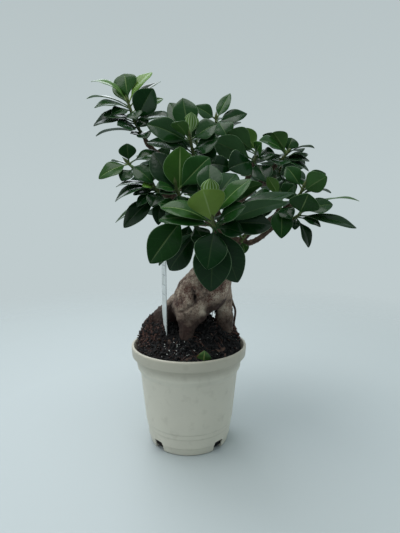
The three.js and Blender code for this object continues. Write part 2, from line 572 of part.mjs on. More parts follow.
/** The soil as stacked rings of points: up its side, then in over its surface. */
function soilSolid() {
  const topRadius = SOIL_PROFILE[SOIL_PROFILE.length - 1][0];
  const rings = [
    ...SOIL_PROFILE.map(([radius, height]) => () => [radius, height]),
    ...SOIL_RINGS.map((share) => (cos, sin) => {
      const radius = topRadius * share;
      return [radius, soilHeight(radius * cos, radius * sin)];
    }),
  ];
  const vertices = [0, 0, SOIL_PROFILE[0][1]];
  for (const ring of rings) {
    for (let k = 0; k < SOIL_SECTORS; k += 1) {
      const angle = 2 * Math.PI * k / SOIL_SECTORS;
      const [radius, height] = ring(Math.cos(angle), Math.sin(angle));
      vertices.push(radius * Math.cos(angle), radius * Math.sin(angle), height);
    }
  }
  vertices.push(0, 0, soilHeight(0, 0));
  const at = (ring, k) => 1 + ring * SOIL_SECTORS + k % SOIL_SECTORS;
  const top = vertices.length / 3 - 1;
  const index = [];
  for (let k = 0; k < SOIL_SECTORS; k += 1) {
    index.push(0, at(0, k + 1), at(0, k));
    index.push(top, at(rings.length - 1, k), at(rings.length - 1, k + 1));
    for (let ring = 0; ring < rings.length - 1; ring += 1) {
      index.push(at(ring, k), at(ring, k + 1), at(ring + 1, k + 1));
      index.push(at(ring, k), at(ring + 1, k + 1), at(ring + 1, k));
    }
  }
  const geometry = new THREE.BufferGeometry();
  geometry.setAttribute('position', new THREE.BufferAttribute(new Float32Array(vertices), 3));
  geometry.setIndex(index);
  return solid(geometry);
}

// The rootstock

const ROOTS = [LEFT_LOBE, RIGHT_LOBE, RIGHT_LEG, LEFT_REAR_ROOT, REAR_ROOT];

/** The lobes and roots grown into one body, each made larger by the same amount. */
function rootstockSolid(grow = 0) {
  const thick = ROOTS.map((points) => limb(points, ROOTSTOCK_SIDES, 1, grow));
  return joined([...thick, limb(AERIAL_ROOT, 5, 1, grow)]);
}

function knotHollow() {
  const { centre, radii } = KNOT_HOLLOW;
  const ball = new THREE.SphereGeometry(1, 8, 6);
  ball.scale(...radii);
  ball.translate(...centre);
  return solid(ball);
}

// The plant label: a flat strip with a point cut on one side, pushed into the soil

function labelSolid(grow = 0) {
  const { foot, height, width, thickness, point, turn } = LABEL;
  const outline = new THREE.Shape();
  outline.moveTo(width / 2 - 2 - grow, -grow);
  outline.lineTo(width / 2 + grow, -grow);
  outline.lineTo(width / 2 + grow, height);
  outline.lineTo(-width / 2 - grow, height);
  outline.lineTo(-width / 2 - grow, point);
  outline.closePath();
  const strip = new THREE.ExtrudeGeometry(outline, { depth: thickness + 2 * grow, bevelEnabled: false });
  strip.translate(0, 0, -thickness / 2 - grow);
  strip.rotateX(Math.PI / 2);
  strip.rotateZ(radians(turn));
  strip.translate(...foot);
  return solid(strip);
}

/** A shed leaf on the soil just inside the front of the rim, with its tip standing up. */
function fallenLeafSolid() {
  const { foot, tip, rise, width, lift, lean } = FALLEN_LEAF;
  const from = [...foot, soilHeight(...foot) + lift];
  const to = [...tip, soilHeight(...tip) + rise];
  return leafSolid(makeLeaf('fallen', from, [0, 0, 1], sub(to, from), width, lean, 0.04, 0.35));
}

// The whole plant

const group = new THREE.Group();

function show(name, body, colour, roughness) {
  const material = new THREE.MeshStandardMaterial({ color: colour, roughness, metalness: 0 });
  const mesh = new THREE.Mesh(geometryOf(body), material);
  mesh.name = name;
  group.add(mesh);
}

const twigs = TWIGS.map(twigLimb);
const woodRows = [
  ...[...twigs, ...ROOTS, GRAFT_CROWN].map((points) => ({ shoot: '', balls: ballsAlong(points) })),
  ...SHOOTS.map(([name, stem]) => ({ shoot: name, balls: ballsAlong(stemLimb(stem)) })),
];
const leaves = placeLeaves(woodRows);

show('pot', potSolid(), 0xb4b8aa, 0.5);
const holes = [rootstockSolid(JOINT_GAP), labelSolid(JOINT_GAP)];
show('soil', holes.reduce((soil, hole) => soil.subtract(hole), soilSolid()), 0x2a211c, 0.95);
show('rootstock', rootstockSolid().subtract(knotHollow()), 0x7a6c5e, 0.85);
const crown = limb(GRAFT_CROWN, ROOTSTOCK_SIDES, 1);
show('twigs', joined([crown, ...twigs.map((points) => limb(points, TWIG_SIDES, 1))]), 0x5c4a3c, 0.8);
for (const [name, stem] of SHOOTS) {
  const parts = leaves.filter((leaf) => leaf.shoot === name).map(leafSolid);
  show(`shoot_${name}`, joined([limb(stemLimb(stem), STEM_SIDES, 1), ...parts]), 0x1f4a22, 0.4);
}
show('plant_label', labelSolid(), 0xe4e8e6, 0.45);
show('fallen_leaf', fallenLeafSolid(), 0x4a6a2a, 0.5);

export default group;
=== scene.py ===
# %% [markdown]
# A ginseng ficus in its nursery pot.
# The real plant is a fig seedling whose roots have swollen into thick grey lobes. Its top was
# sawn off, and twigs of a glossy, small-leaved fig were grafted on. This lesson rebuilds it
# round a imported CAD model, which says where each piece is and how large it is. Everything
# here adds the fine surface: leaves with veins and margins, bark, crumbly soil, moulded plastic.

# %% Load the frame that every piece is built in
import itertools
import math

import bmesh
import bpy
import numpy as np
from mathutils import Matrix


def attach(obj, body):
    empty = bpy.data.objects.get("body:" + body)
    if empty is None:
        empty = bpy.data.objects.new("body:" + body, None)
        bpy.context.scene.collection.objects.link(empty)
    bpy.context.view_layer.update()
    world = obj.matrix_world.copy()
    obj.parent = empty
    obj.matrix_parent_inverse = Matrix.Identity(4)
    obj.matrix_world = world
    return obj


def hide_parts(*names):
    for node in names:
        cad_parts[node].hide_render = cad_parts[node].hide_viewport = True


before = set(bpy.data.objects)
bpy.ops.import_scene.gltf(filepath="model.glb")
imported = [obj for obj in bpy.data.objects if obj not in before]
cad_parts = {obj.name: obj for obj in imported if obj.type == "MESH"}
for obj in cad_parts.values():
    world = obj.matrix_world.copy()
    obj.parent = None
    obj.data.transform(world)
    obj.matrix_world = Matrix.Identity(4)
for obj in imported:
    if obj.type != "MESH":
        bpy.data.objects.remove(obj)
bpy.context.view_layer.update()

import openvdb

MM = 0.001  # the sizes below are in millimetres and Blender works in metres
print("CAD nodes:", len(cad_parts))

# %% [markdown]
# The camera comes first, because it decides which details matter. The photograph was taken
# from about 0.4 m away, a little above the rootstock, looking slightly down. The long side
# of the picture is its height, and the sensor's 36 mm belong to that side. A camera can be
# matched by eye against a picture in the background. Here the ellipses of the pot's rim and
# foot gave its height, distance and pitch, which can be worked out again by anyone.

# %% The camera
CAMERA_PLACE = (11.6, -409, 238)
CAMERA_PITCH = 7.56  # degrees below the horizon
CAMERA_LENS = 27.0

camera_data = bpy.data.cameras.new("camera")
camera_data.sensor_width = 36
camera_data.lens = CAMERA_LENS
camera_data.clip_start = 0.01
camera = bpy.data.objects.new("camera", camera_data)
camera.location = [value * MM for value in CAMERA_PLACE]
camera.rotation_euler = (math.radians(90 - CAMERA_PITCH), 0, 0)
bpy.context.scene.collection.objects.link(camera)
bpy.context.scene.camera = camera
print("camera at", tuple(camera.location))

# %% [markdown]
# Colours are written as sRGB hex values, as a colour picker gives them, but shaders add and
# multiply light, so they need linear numbers. One function turns one into the other. A second
# small function adds a shader node, sets its properties and links or fills its sockets, so
# that each material below reads as a short recipe. The same nodes could be placed by hand in
# the shader editor, but a script keeps the real sizes and colours in plain sight.

# %% Helpers for materials


def linear(code):
    """Linear RGBA of an sRGB hex colour: c/12.92 below 0.04045, else ((c+0.055)/1.055)^2.4."""
    parts = [int(code[i:i + 2], 16) / 255 for i in (1, 3, 5)]
    return [c / 12.92 if c <= 0.04045 else ((c + 0.055) / 1.055) ** 2.4 for c in parts] + [1]


def every(size):
    """The scale of a texture whose features come every so many millimetres."""
    return 1 / (size * MM)


def add(tree, kind, inputs=None, stops=None, **settings):
    """Adds a node, sets its properties, and fills or links its inputs by name or number. An input
    may be a value, a socket, or a node, which stands for its first output."""
    made = tree.nodes.new("ShaderNode" + kind)
    for key, value in settings.items():
        setattr(made, key, value)
    for key, value in (inputs or {}).items():
        if isinstance(value, bpy.types.Node):
            value = value.outputs[0]
        if isinstance(value, bpy.types.NodeSocket):
            tree.links.new(value, made.inputs[key])
        else:
            made.inputs[key].default_value = value
    if stops:
        bar = made.color_ramp.elements
        while len(bar) < len(stops):
            bar.new(0.5)
        for element, (place, colour) in zip(bar, stops):
            element.position = place
            element.color = colour if isinstance(colour, list) else linear(colour)
    return made


def new_material(name, **shader):
    """A material with one Principled shader, whose uniform values are set on its own sockets."""
    made = bpy.data.materials.new(name)
    made.use_nodes = True
    tree = made.node_tree
    surface = tree.nodes["Principled BSDF"]
    for key, value in shader.items():
        surface.inputs[key.replace("_", " ")].default_value = value
    return made, tree, surface


print("mid grey in linear light:", round(linear("#808080")[0], 3))

# %% [markdown]
# Leaves, bark and soil are all uneven at several sizes at once. That unevenness is noise: a
# random number at each corner of a lattice of cells, blended smoothly in between. Blender has
# noise functions of its own, but they take one point at a time. This one works on whole arrays
# of points, and it depends only on the point and a seed, so it is the same on each run.

# %% Noise


def hashed(cells, seed):
    """A number from -1 to 1 for each lattice cell, from its coordinates times large primes."""
    mixed = cells[..., 0] * 73856093 ^ cells[..., 1] * 19349663 ^ cells[..., 2] * 83492791
    mixed = (mixed ^ seed * 2654435761) & 0xFFFFFFFF
    mixed = ((mixed ^ mixed >> 13) * 1274126177) & 0xFFFFFFFF
    mixed = mixed ^ mixed >> 16
    return (mixed & 0xFFFF) / 32767.5 - 1


def noise(points, width, seed=0):
    """Smooth noise with humps of a width: corner numbers weighted by products of 3t^2 - 2t^3."""
    place = points / width
    cell = np.floor(place).astype(np.int64)
    t = place - cell
    t = t * t * (3 - 2 * t)
    total = np.zeros(points.shape[:-1])
    for corner in itertools.product((0, 1), repeat=3):
        weight = np.prod(np.where(np.array(corner) == 1, t, 1 - t), axis=-1)
        total += weight * hashed(cell + np.array(corner), seed)
    return total


def layered(points, width, layers=3, seed=0):
    """Noise plus half as much at half the width, and so on."""
    return sum(noise(points, width / 2 ** k, seed + k) / 2 ** k for k in range(layers))


def ramp(value, low, high):
    """0 below low and 1 above high, with the smooth step 3t^2 - 2t^3 between them."""
    t = np.clip((value - low) / (high - low), 0, 1)
    return t * t * (3 - 2 * t)


print("noise at the origin:", round(float(noise(np.zeros(3), 10)), 3))

# %% [markdown]
# Every piece is made from arrays: vertices in millimetres, four-sided faces and triangles.
# A grid of points becomes faces with a little index arithmetic, a profile turned round Z
# becomes a pot, and rings set along a curve become a limb. Blender's primitives and modifiers
# could make some of these, but an array keeps each shape as one formula. The signed volume of
# the closed shape tells whether its faces point outwards.

# %% Shapes as arrays of vertices and faces


def grid_faces(rows, columns):
    """Quads between the points of a grid of rings, where each ring closes on itself."""
    i = np.arange(rows - 1)[:, None] * columns
    j = np.arange(columns)[None, :]
    k = (j + 1) % columns
    return np.stack([i + j, i + k, i + columns + k, i + columns + j], axis=-1).reshape(-1, 4)


def ringed(rings, first, last):
    """A closed shape: rings of points, with one pole before the first and one after the last."""
    rows, columns = rings.shape[:2]
    vertices = np.concatenate([rings.reshape(-1, 3), [first, last]])
    j = np.arange(columns)
    k = (j + 1) % columns
    pole = rows * columns
    end = (rows - 1) * columns
    low = np.stack([k, j, np.full(columns, pole)], axis=-1)
    high = np.stack([end + j, end + k, np.full(columns, pole + 1)], axis=-1)
    return outward(vertices, grid_faces(rows, columns), np.concatenate([low, high]))


def outward(vertices, quads, triangles):
    """Turns every face over if the sum of the volumes of its cones from the origin is negative."""
    corners = np.concatenate([quads[:, [0, 1, 2]], quads[:, [0, 2, 3]], triangles])
    a, b, c = vertices[corners[:, 0]], vertices[corners[:, 1]], vertices[corners[:, 2]]
    if np.sum(a * np.cross(b, c)) < 0:
        quads, triangles = quads[:, ::-1], triangles[:, ::-1]
    return vertices, quads, triangles


def merged(shapes):
    """Several shapes as one, with their faces' numbers moved on."""
    starts = np.cumsum([0] + [len(shape[0]) for shape in shapes])
    vertices = np.concatenate([shape[0] for shape in shapes])
    quads = np.concatenate([shape[1] + start for shape, start in zip(shapes, starts)])
    triangles = np.concatenate([shape[2] + start for shape, start in zip(shapes, starts)])
    return vertices, quads, triangles


def make_piece(name, shape, material, nodes=(), smooth=True):
    """Puts a shape into a mesh object at the origin, which rides on the plant's one body."""
    vertices, quads, triangles = shape
    corners = np.concatenate([quads.ravel(), triangles.ravel()]).astype(np.int32)
    counts = np.concatenate([np.full(len(quads), 4), np.full(len(triangles), 3)])
    mesh = bpy.data.meshes.new(name)
    mesh.vertices.add(len(vertices))
    mesh.vertices.foreach_set("co", (vertices * MM).ravel())
    mesh.loops.add(len(corners))
    mesh.loops.foreach_set("vertex_index", corners)
    mesh.polygons.add(len(counts))
    mesh.polygons.foreach_set("loop_start", np.cumsum(counts) - counts)
    mesh.polygons.foreach_set("use_smooth", np.full(len(counts), smooth))
    mesh.update(calc_edges=True)
    mesh.validate()
    piece = bpy.data.objects.new(name, mesh)
    bpy.context.scene.collection.objects.link(piece)
    mesh.materials.append(material)
    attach(piece, "root")
    if nodes:
        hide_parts(*nodes)
    print(f"{name}: {len(vertices)} vertices, {len(counts)} faces")
    return piece


def set_attribute(piece, name, values):
    """Stores one number, or one colour of four numbers, for each vertex."""
    kind, key = ("FLOAT", "value") if values.ndim == 1 else ("FLOAT_COLOR", "color")
    layer = piece.data.attributes.new(name, kind, "POINT")
    layer.data.foreach_set(key, values.ravel())


def set_uv(piece, name, places):
    """Stores a place on the surface for each vertex, repeated at every face corner there."""
    mesh = piece.data
    corners = np.empty(len(mesh.loops), np.int32)
    mesh.loops.foreach_get("vertex_index", corners)
    layer = mesh.uv_layers.new(name=name)
    layer.data.foreach_set("uv", places[corners].ravel())


print("faces between 3 rings of 8 points:", len(grid_faces(3, 8)))

# %% [markdown]
# Stems, twigs and roots all follow smooth curves through a few points. The curve is the
# centripetal Catmull-Rom spline, which passes through each point without loops. Its formula
# is a cubic in each stretch whose end slopes come from the neighbouring points. A curve object
# could draw it, but the leaves have to know where their stems are, and the CAD model was made
# with this same formula.

# %% Curves through points
POLE_OUT = 0.2  # how far a tube's end points stand out, so that its ends are slightly domed


def curve(points, shares):
    """Places at shares of a centripetal Catmull-Rom curve: a cubic for each stretch, with slopes
    from the points' differences over the square roots of their distances."""
    known = np.asarray(points, float)[:, :3]
    ends = np.vstack([2 * known[0] - known[1], known, 2 * known[-1] - known[-2]])
    place = np.clip(shares, 0, 1) * (len(known) - 1)
    i = np.minimum(place.astype(int), len(known) - 2)
    w = (place - i)[:, None]
    x0, x1, x2, x3 = ends[i], ends[i + 1], ends[i + 2], ends[i + 3]
    d0, d1, d2 = (np.sqrt(np.linalg.norm(b - a, axis=1))[:, None]
                  for a, b in ((x0, x1), (x1, x2), (x2, x3)))
    slope1 = ((x1 - x0) / d0 - (x2 - x0) / (d0 + d1) + (x2 - x1) / d1) * d1
    slope2 = ((x2 - x1) / d1 - (x3 - x1) / (d1 + d2) + (x3 - x2) / d2) * d1
    cubic = 2 * x1 - 2 * x2 + slope1 + slope2
    square = -3 * x1 + 3 * x2 - 2 * slope1 - slope2
    return x1 + slope1 * w + square * w ** 2 + cubic * w ** 3


def radius_at(points, shares):
    """Radii at shares of a limb, in straight lines from point to point."""
    known = np.asarray(points, float)[:, 3]
    return np.interp(np.clip(shares, 0, 1) * (len(known) - 1), np.arange(len(known)), known)


def curve_length(points, steps=200):
    """Length of the curve, as the sum of short straight steps."""
    line = curve(points, np.linspace(0, 1, steps + 1))
    return float(np.linalg.norm(np.diff(line, axis=0), axis=1).sum())


def balls_along(points, spacing=2):
    """Centres and radii of balls along a limb, one for about each spacing."""
    count = math.ceil(curve_length(points) / spacing) + 1
    shares = np.arange(count + 1) / count
    return np.column_stack([curve(points, shares), radius_at(points, shares)])


def unit(vectors):
    """The same directions with length 1."""
    return vectors / np.linalg.norm(vectors, axis=-1, keepdims=True)


def tube(centres, radii, sides):
    """Rings of radius r round a line of centres: c + r (cos u side + sin u other)."""
    tangents = unit(np.gradient(centres, axis=0))
    overall = centres[-1] - centres[0]
    across = np.array([1.0, 0, 0] if abs(overall[0]) < abs(overall[1]) else [0, 1.0, 0])
    side = unit(np.cross(across, tangents))
    other = np.cross(side, tangents)
    u = np.linspace(0, 2 * np.pi, sides, endpoint=False)[None, :, None]
    rings = centres[:, None] + np.reshape(radii, (-1, 1, 1)) * (
        np.cos(u) * side[:, None] + np.sin(u) * other[:, None])
    return ringed(rings, centres[0] - tangents[0] * POLE_OUT, centres[-1] + tangents[-1] * POLE_OUT)


print("a curve round a right angle:", round(curve_length([(0, 0, 0), (10, 0, 0), (10, 10, 0)]), 1), "mm")

# %% [markdown]
# The pot is a thin moulded nursery pot of polypropylene, 12 cm across. It has a rolled rim,
# two steps that let pots stack, and a stepped foot with four drainage notches. The profile
# has only the corners that the mould has. It could be drawn as a curve with a Screw modifier
# and a Bevel. Here each corner is rounded by a short curve and the profile is turned round Z,
# so that the mould's own radii and heights stay readable as numbers.

# %% The pot's shape
POT_PROFILE = [  # radius and height: outside going up, then inside going down
    (0, 0), (41.2, 0), (42.6, 7), (43.4, 7.6), (44.2, 17.6), (44.9, 18.2), (45.2, 22.8), (45.9, 23.6),
    (51.1, 75.5), (54.2, 80.5), (55.4, 91.4), (59.4, 92.6), (60, 102.3), (59, 103.3), (57.4, 103.3),
    (53.8, 92), (52.6, 81.5), (49.6, 77), (44, 22), (40.4, 2.2), (0, 2.2),
]
POT_SIDES = 180
CORNER_CUT = 0.9  # how far from a corner its rounding starts
NOTCH_COUNT = 4
FIRST_NOTCH = 45  # degrees round from +X, so that two notches show at the front
NOTCH_WIDTH = 11.5
NOTCH_HEIGHT = 10
NOTCH_INNER_RADIUS = 37
NOTCH_DEPTH = 20  # from there outwards, well past the wall
NOTCH_ROUNDING = 1.8


def rounded(profile, cut, steps=4):
    """Replaces each corner P by the curve (1-t)^2 A + 2t(1-t) P + t^2 B, where A and B lie a cut
    away along its two sides."""
    known = np.asarray(profile, float)
    t = np.linspace(0, 1, steps + 1)[:, None]
    result = [known[:1]]
    for before, corner, after in zip(known, known[1:], known[2:]):
        back, on = before - corner, after - corner
        a = corner + back * min(cut / np.linalg.norm(back), 0.45)
        b = corner + on * min(cut / np.linalg.norm(on), 0.45)
        result.append((1 - t) ** 2 * a + 2 * t * (1 - t) * corner + t ** 2 * b)
    return np.concatenate(result + [known[-1:]])


def turned(profile, sides):
    """A profile from axis to axis turned round Z: (r cos u, r sin u, z)."""
    u = np.linspace(0, 2 * np.pi, sides, endpoint=False)[None, :]
    radius, height = profile[1:-1, :1], profile[1:-1, 1:]
    rings = np.stack([radius * np.cos(u), radius * np.sin(u), height + 0 * u], axis=-1)
    return ringed(rings, (0, 0, profile[0, 1]), (0, 0, profile[-1, 1]))


def notch_cutter(turn):
    """A bar through the foot with a round-cornered top, turned to its place."""
    half = NOTCH_WIDTH / 2
    outline = rounded([(-half, -NOTCH_HEIGHT), (-half, NOTCH_HEIGHT), (half, NOTCH_HEIGHT),
                       (half, -NOTCH_HEIGHT)], NOTCH_ROUNDING, 6)
    out = np.array([math.cos(turn), math.sin(turn), 0])
    across = np.array([-out[1], out[0], 0])
    face = outline[:, :1] * across + outline[:, 1:] * np.array([0, 0, 1])
    rings = np.stack([face + out * NOTCH_INNER_RADIUS,
                      face + out * (NOTCH_INNER_RADIUS + NOTCH_DEPTH)])
    return ringed(rings, rings[0].mean(axis=0), rings[1].mean(axis=0))


print("pot wall corners:", len(POT_PROFILE))

# %% [markdown]
# Polypropylene for such pots is pigmented off-white. It is a little translucent and waxy, so
# it has a soft, wide highlight. Compost dust sticks to it, and a few specks are splashed round
# the rim. The rim itself is darkened with painted shade, as its lip would shade it. A painted
# dirt image is the usual way for the dust. Noise at the size of the smudges does it without
# seams, and it can be as fine as the view needs.

# %% The pot's material
pot_plastic, tree, surface = new_material("moulded polypropylene", Roughness=0.46, IOR=1.49)
place = add(tree, "TexCoord").outputs["Object"]
cloudy = add(tree, "TexNoise", {"Vector": place, "Scale": every(45), "Detail": 3})
tint = add(tree, "ValToRGB", {"Fac": cloudy}, stops=[(0.3, "#d5d0c1"), (0.7, "#ddd8c8")])
grime_noise = add(tree, "TexNoise", {"Vector": place, "Scale": every(9), "Detail": 5})
grime = add(tree, "MapRange", {"Value": grime_noise, "From Min": 0.56, "From Max": 0.8, "To Max": 0.3})
dusty = add(tree, "MixRGB", {"Fac": grime, "Color1": tint, "Color2": linear("#a39c8a")})
specks = add(tree, "TexVoronoi", {"Vector": place, "Scale": every(11), "Randomness": 1})
speck = add(tree, "MapRange", {"Value": specks, "From Min": 0.035,
                               "From Max": 0.055, "To Min": 1, "To Max": 0})
height = add(tree, "SeparateXYZ", {"Vector": place}).outputs["Z"]
lip = add(tree, "MapRange", {"Value": height, "From Min": 0.084, "From Max": 0.1})
speck_here = add(tree, "Math", {0: speck, 1: lip}, operation="MULTIPLY")
# Painted shade: the rim, above 82 mm, is darkened as its lip would shade it.
rim_shade_band = add(tree, "MapRange", {"Value": height, "From Min": 0.082, "From Max": 0.088, "To Max": 0.45})
rim_shaded = add(tree, "MixRGB", {"Fac": rim_shade_band, "Color1": dusty, "Color2": linear("#97917f")})
spotted = add(tree, "MixRGB", {"Fac": speck_here, "Color1": rim_shaded, "Color2": linear("#3a2f28")})
tree.links.new(spotted.outputs["Color"], surface.inputs["Base Color"])
grain = add(tree, "TexNoise", {"Vector": place, "Scale": every(0.9), "Detail": 2})
bump = add(tree, "Bump", {"Height": grain, "Strength": 0.12, "Distance": 0.0002})
tree.links.new(bump.outputs["Normal"], surface.inputs["Normal"])
print("material:", pot_plastic.name)

# %% [markdown]
# Water leaves a pot that stands flat through notches in its foot. A turned profile can't have
# them, since they don't run all the way round, and building the wall in sections would leave
# seams. So a bar with rounded top corners cuts each one out with a Boolean modifier, which is
# applied at once, so that the finished mesh is all there is.

# %% Turn the pot and cut its notches
pot_shape = turned(rounded(POT_PROFILE, CORNER_CUT), POT_SIDES)
pot = make_piece("nursery_pot", pot_shape, pot_plastic, ["pot"])


def cut_away(piece, shape):
    """Cuts a closed shape out of a piece with a Boolean modifier, applied at once."""
    vertices, quads, triangles = shape
    mesh = bpy.data.meshes.new("cutter")
    mesh.from_pydata((vertices * MM).tolist(), [], quads.tolist() + triangles.tolist())
    cutter = bpy.data.objects.new("cutter", mesh)
    bpy.context.scene.collection.objects.link(cutter)
    modifier = piece.modifiers.new("cut", "BOOLEAN")
    modifier.object = cutter
    modifier.solver = "EXACT"
    bpy.context.view_layer.update()
    view = bpy.context.evaluated_depsgraph_get()
    result = bpy.data.meshes.new_from_object(piece.evaluated_get(view))
    piece.modifiers.clear()
    piece.data = result
    bpy.data.objects.remove(cutter)


for notch in range(NOTCH_COUNT):
    cut_away(pot, notch_cutter(math.radians(FIRST_NOTCH + 360 / NOTCH_COUNT * notch)))
pot.data.shade_smooth()
pot.data.set_sharp_from_angle(angle=math.radians(35))
print("pot faces after the cuts:", len(pot.data.polygons))

# %% [markdown]
# Potting mix is dark peat with coir, bark chips and white perlite. Its surface is a height
# over the ground plan: the level of the CAD soil with its heaps, and crumbs of two sizes
# added as noise. It could be sculpted, but the roots, the crumbs and the shed leaf all have to
# know how high the soil is where they stand, and a formula tells them.

# %% The soil's surface
SOIL_PROFILE = [(39.9, 2.6), (43.6, 22.2), (49.1, 77.2), (52.1, 81.8), (53.4, 92), (54.7, 97)]
SOIL_LEVEL = 100.5
SOIL_HEAPS = [  # x, y, height, spread along x, spread along y
    (10, 8, 25, 32, 28), (-2, -24, 7, 16, 12), (-37, 16, 26, 17, 16), (-24, -4, 13, 11, 13),
    (44, 20, 11, 8, 8), (13, 4, 7, 8, 10), (22, 20, 5, 12, 12),
]
SOIL_SIDES = 260
SOIL_RINGS = 84


def soil_height(x, y):
    """The soil's level, which rises to the back, plus a bell exp(-r^2) for each heap and waves."""
    height = SOIL_LEVEL + 2.5 * y / 60
    for cx, cy, rise, spread_x, spread_y in SOIL_HEAPS:
        height = height + rise * np.exp(-((x - cx) / spread_x) ** 2 - ((y - cy) / spread_y) ** 2)
    crumbs = 0.7 * np.sin(x / 5.1 + 1) * np.cos(y / 4.3)
    return height + crumbs + 0.4 * np.sin(x / 2.9) * np.sin(y / 3.3 + 2)


def soil_shape():
    """The side of the soil turned round Z, then rings that close in over its crumbly surface."""
    u = np.linspace(0, 2 * np.pi, SOIL_SIDES, endpoint=False)[None, :]
    side = np.array(SOIL_PROFILE)
    side_rings = np.stack([side[:, :1] * np.cos(u), side[:, :1] * np.sin(u), side[:, 1:] + 0 * u], -1)
    radius = side[-1, 0] * np.linspace(0.985, 0.008, SOIL_RINGS)[:, None]
    x, y = radius * np.cos(u), radius * np.sin(u)
    ground = np.stack([x, y, 0 * x], axis=-1)
    crumbs = 1.3 * layered(ground, 5.5, 3, seed=3) + 0.7 * np.abs(noise(ground, 2.1, seed=9))
    top_rings = np.stack([x, y, soil_height(x, y) + crumbs], axis=-1)
    rings = np.concatenate([side_rings, top_rings])
    return ringed(rings, (0, 0, SOIL_PROFILE[0][1]), top_rings[-1].mean(axis=0))


print("soil in the middle is", round(float(soil_height(0.0, 0.0)), 1), "mm high")

# %% [markdown]
# Damp peat is nearly black. Where coir and bark lie on top and dry out, as at the left of this
# pot, it has a rusty brown crust. One material could serve for all of it, but real grains
# differ from one to the next, so each kind of loose piece has a plain mottled material of its
# own, and one function makes them all.

# %% The soil's materials
soil_mix, tree, surface = new_material("peat and coir mix", Roughness=0.92, IOR=1.4)
place = add(tree, "TexCoord").outputs["Object"]
lumps = add(tree, "TexVoronoi", {"Vector": place, "Scale": every(2.6), "Randomness": 1})
fine = add(tree, "TexNoise", {"Vector": place, "Scale": every(1.6), "Detail": 6, "Roughness": 0.7})
tint = add(tree, "ValToRGB", {"Fac": fine}, stops=[
    (0.3, "#020304"), (0.5, "#050608"), (0.65, "#0f0d0f"), (0.8, "#261d1b")])
crust_noise = add(tree, "TexNoise", {"Vector": place, "Scale": every(22), "Detail": 4})
left = add(tree, "SeparateXYZ", {"Vector": place})
leftness = add(tree, "MapRange", {"Value": left.outputs["X"], "From Min": -0.012, "From Max": -0.034,
                                  "To Min": -0.1, "To Max": 0.35})
crust_sum = add(tree, "Math", {0: crust_noise, 1: leftness})
crust = add(tree, "MapRange", {"Value": crust_sum, "From Min": 0.48, "From Max": 0.85, "To Max": 0.75})
rusty = add(tree, "ValToRGB", {"Fac": fine}, stops=[
    (0.32, "#150e0e"), (0.55, "#33211e"), (0.75, "#5a4039")])
mixed = add(tree, "MixRGB", {"Fac": crust, "Color1": tint, "Color2": rusty})
tree.links.new(mixed.outputs["Color"], surface.inputs["Base Color"])
bump_low = add(tree, "Bump", {"Height": lumps, "Strength": 0.7, "Distance": 0.0012})
bump = add(tree, "Bump", {"Height": fine, "Strength": 0.8, "Distance": 0.0008, "Normal": bump_low})
tree.links.new(bump.outputs["Normal"], surface.inputs["Normal"])


def plain_grains(name, low, high, size, roughness):
    """A material mottled between two colours, for crumbs, chips and perlite."""
    made, tree, surface = new_material(name, Roughness=roughness)
    place = add(tree, "TexCoord").outputs["Object"]
    mottle = add(tree, "TexNoise", {"Vector": place, "Scale": every(size), "Detail": 4})
    tint = add(tree, "ValToRGB", {"Fac": mottle}, stops=[(0.35, low), (0.68, high)])
    bump = add(tree, "Bump", {"Height": mottle, "Strength": 0.5, "Distance": 0.0004})
    tree.links.new(tint.outputs["Color"], surface.inputs["Base Color"])
    tree.links.new(bump.outputs["Normal"], surface.inputs["Normal"])
    return made


crumb_peat = plain_grains("peat crumbs", "#020203", "#120f10", 5, 0.85)
crumb_rusty = plain_grains("rusty soil crumbs", "#241715", "#67473d", 5, 0.9)
perlite_white = plain_grains("expanded perlite", "#a9aaa6", "#e6e6e0", 1.2, 0.8)
chip_bark = plain_grains("pine bark chips", "#2b1d18", "#5d4436", 2.5, 0.75)
print("soil materials made")

# %% [markdown]
# The rootstock grew: its lobes run into each other with soft hollows in between, which a
# join of plain tubes can't show. So it is first worked out as a field: at each point of a
# fine lattice, the distance to each limb's surface, and a smooth minimum of those distances.
# The surface where that field is zero is then taken out as a mesh. Metaballs work in the
# same way, but they can't be held to the CAD model's limbs so closely.

# %% Grow limbs together in a distance field
LIMB_STEP = 5  # length of the straight stretches that stand for a limb in the field


def limb_field(points, low, voxel, dims, reach):
    """Distance to one limb: the least over its stretches of |p - nearest| - radius there."""
    count = max(2, math.ceil(curve_length(points) / LIMB_STEP))
    shares = np.linspace(0, 1, count + 1)
    line, radii = curve(points, shares), radius_at(points, shares)
    field = np.full(dims, reach, np.float32)
    for a, b, ra, rb in zip(line, line[1:], radii, radii[1:]):
        margin = max(ra, rb) + reach
        start = np.maximum(np.floor((np.minimum(a, b) - margin - low) / voxel).astype(int), 0)
        stop = np.minimum(np.ceil((np.maximum(a, b) + margin - low) / voxel).astype(int) + 1, dims)
        if np.any(stop <= start):
            continue
        axes = [low[k] + voxel * np.arange(start[k], stop[k]) for k in range(3)]
        p = np.stack(np.meshgrid(*axes, indexing="ij"), axis=-1)
        t = np.clip((p - a) @ (b - a) / ((b - a) @ (b - a)), 0, 1)
        gap = np.linalg.norm(p - a - t[..., None] * (b - a), axis=-1) - (ra + t * (rb - ra))
        window = tuple(slice(i, j) for i, j in zip(start, stop))
        field[window] = np.minimum(field[window], gap)
    return field


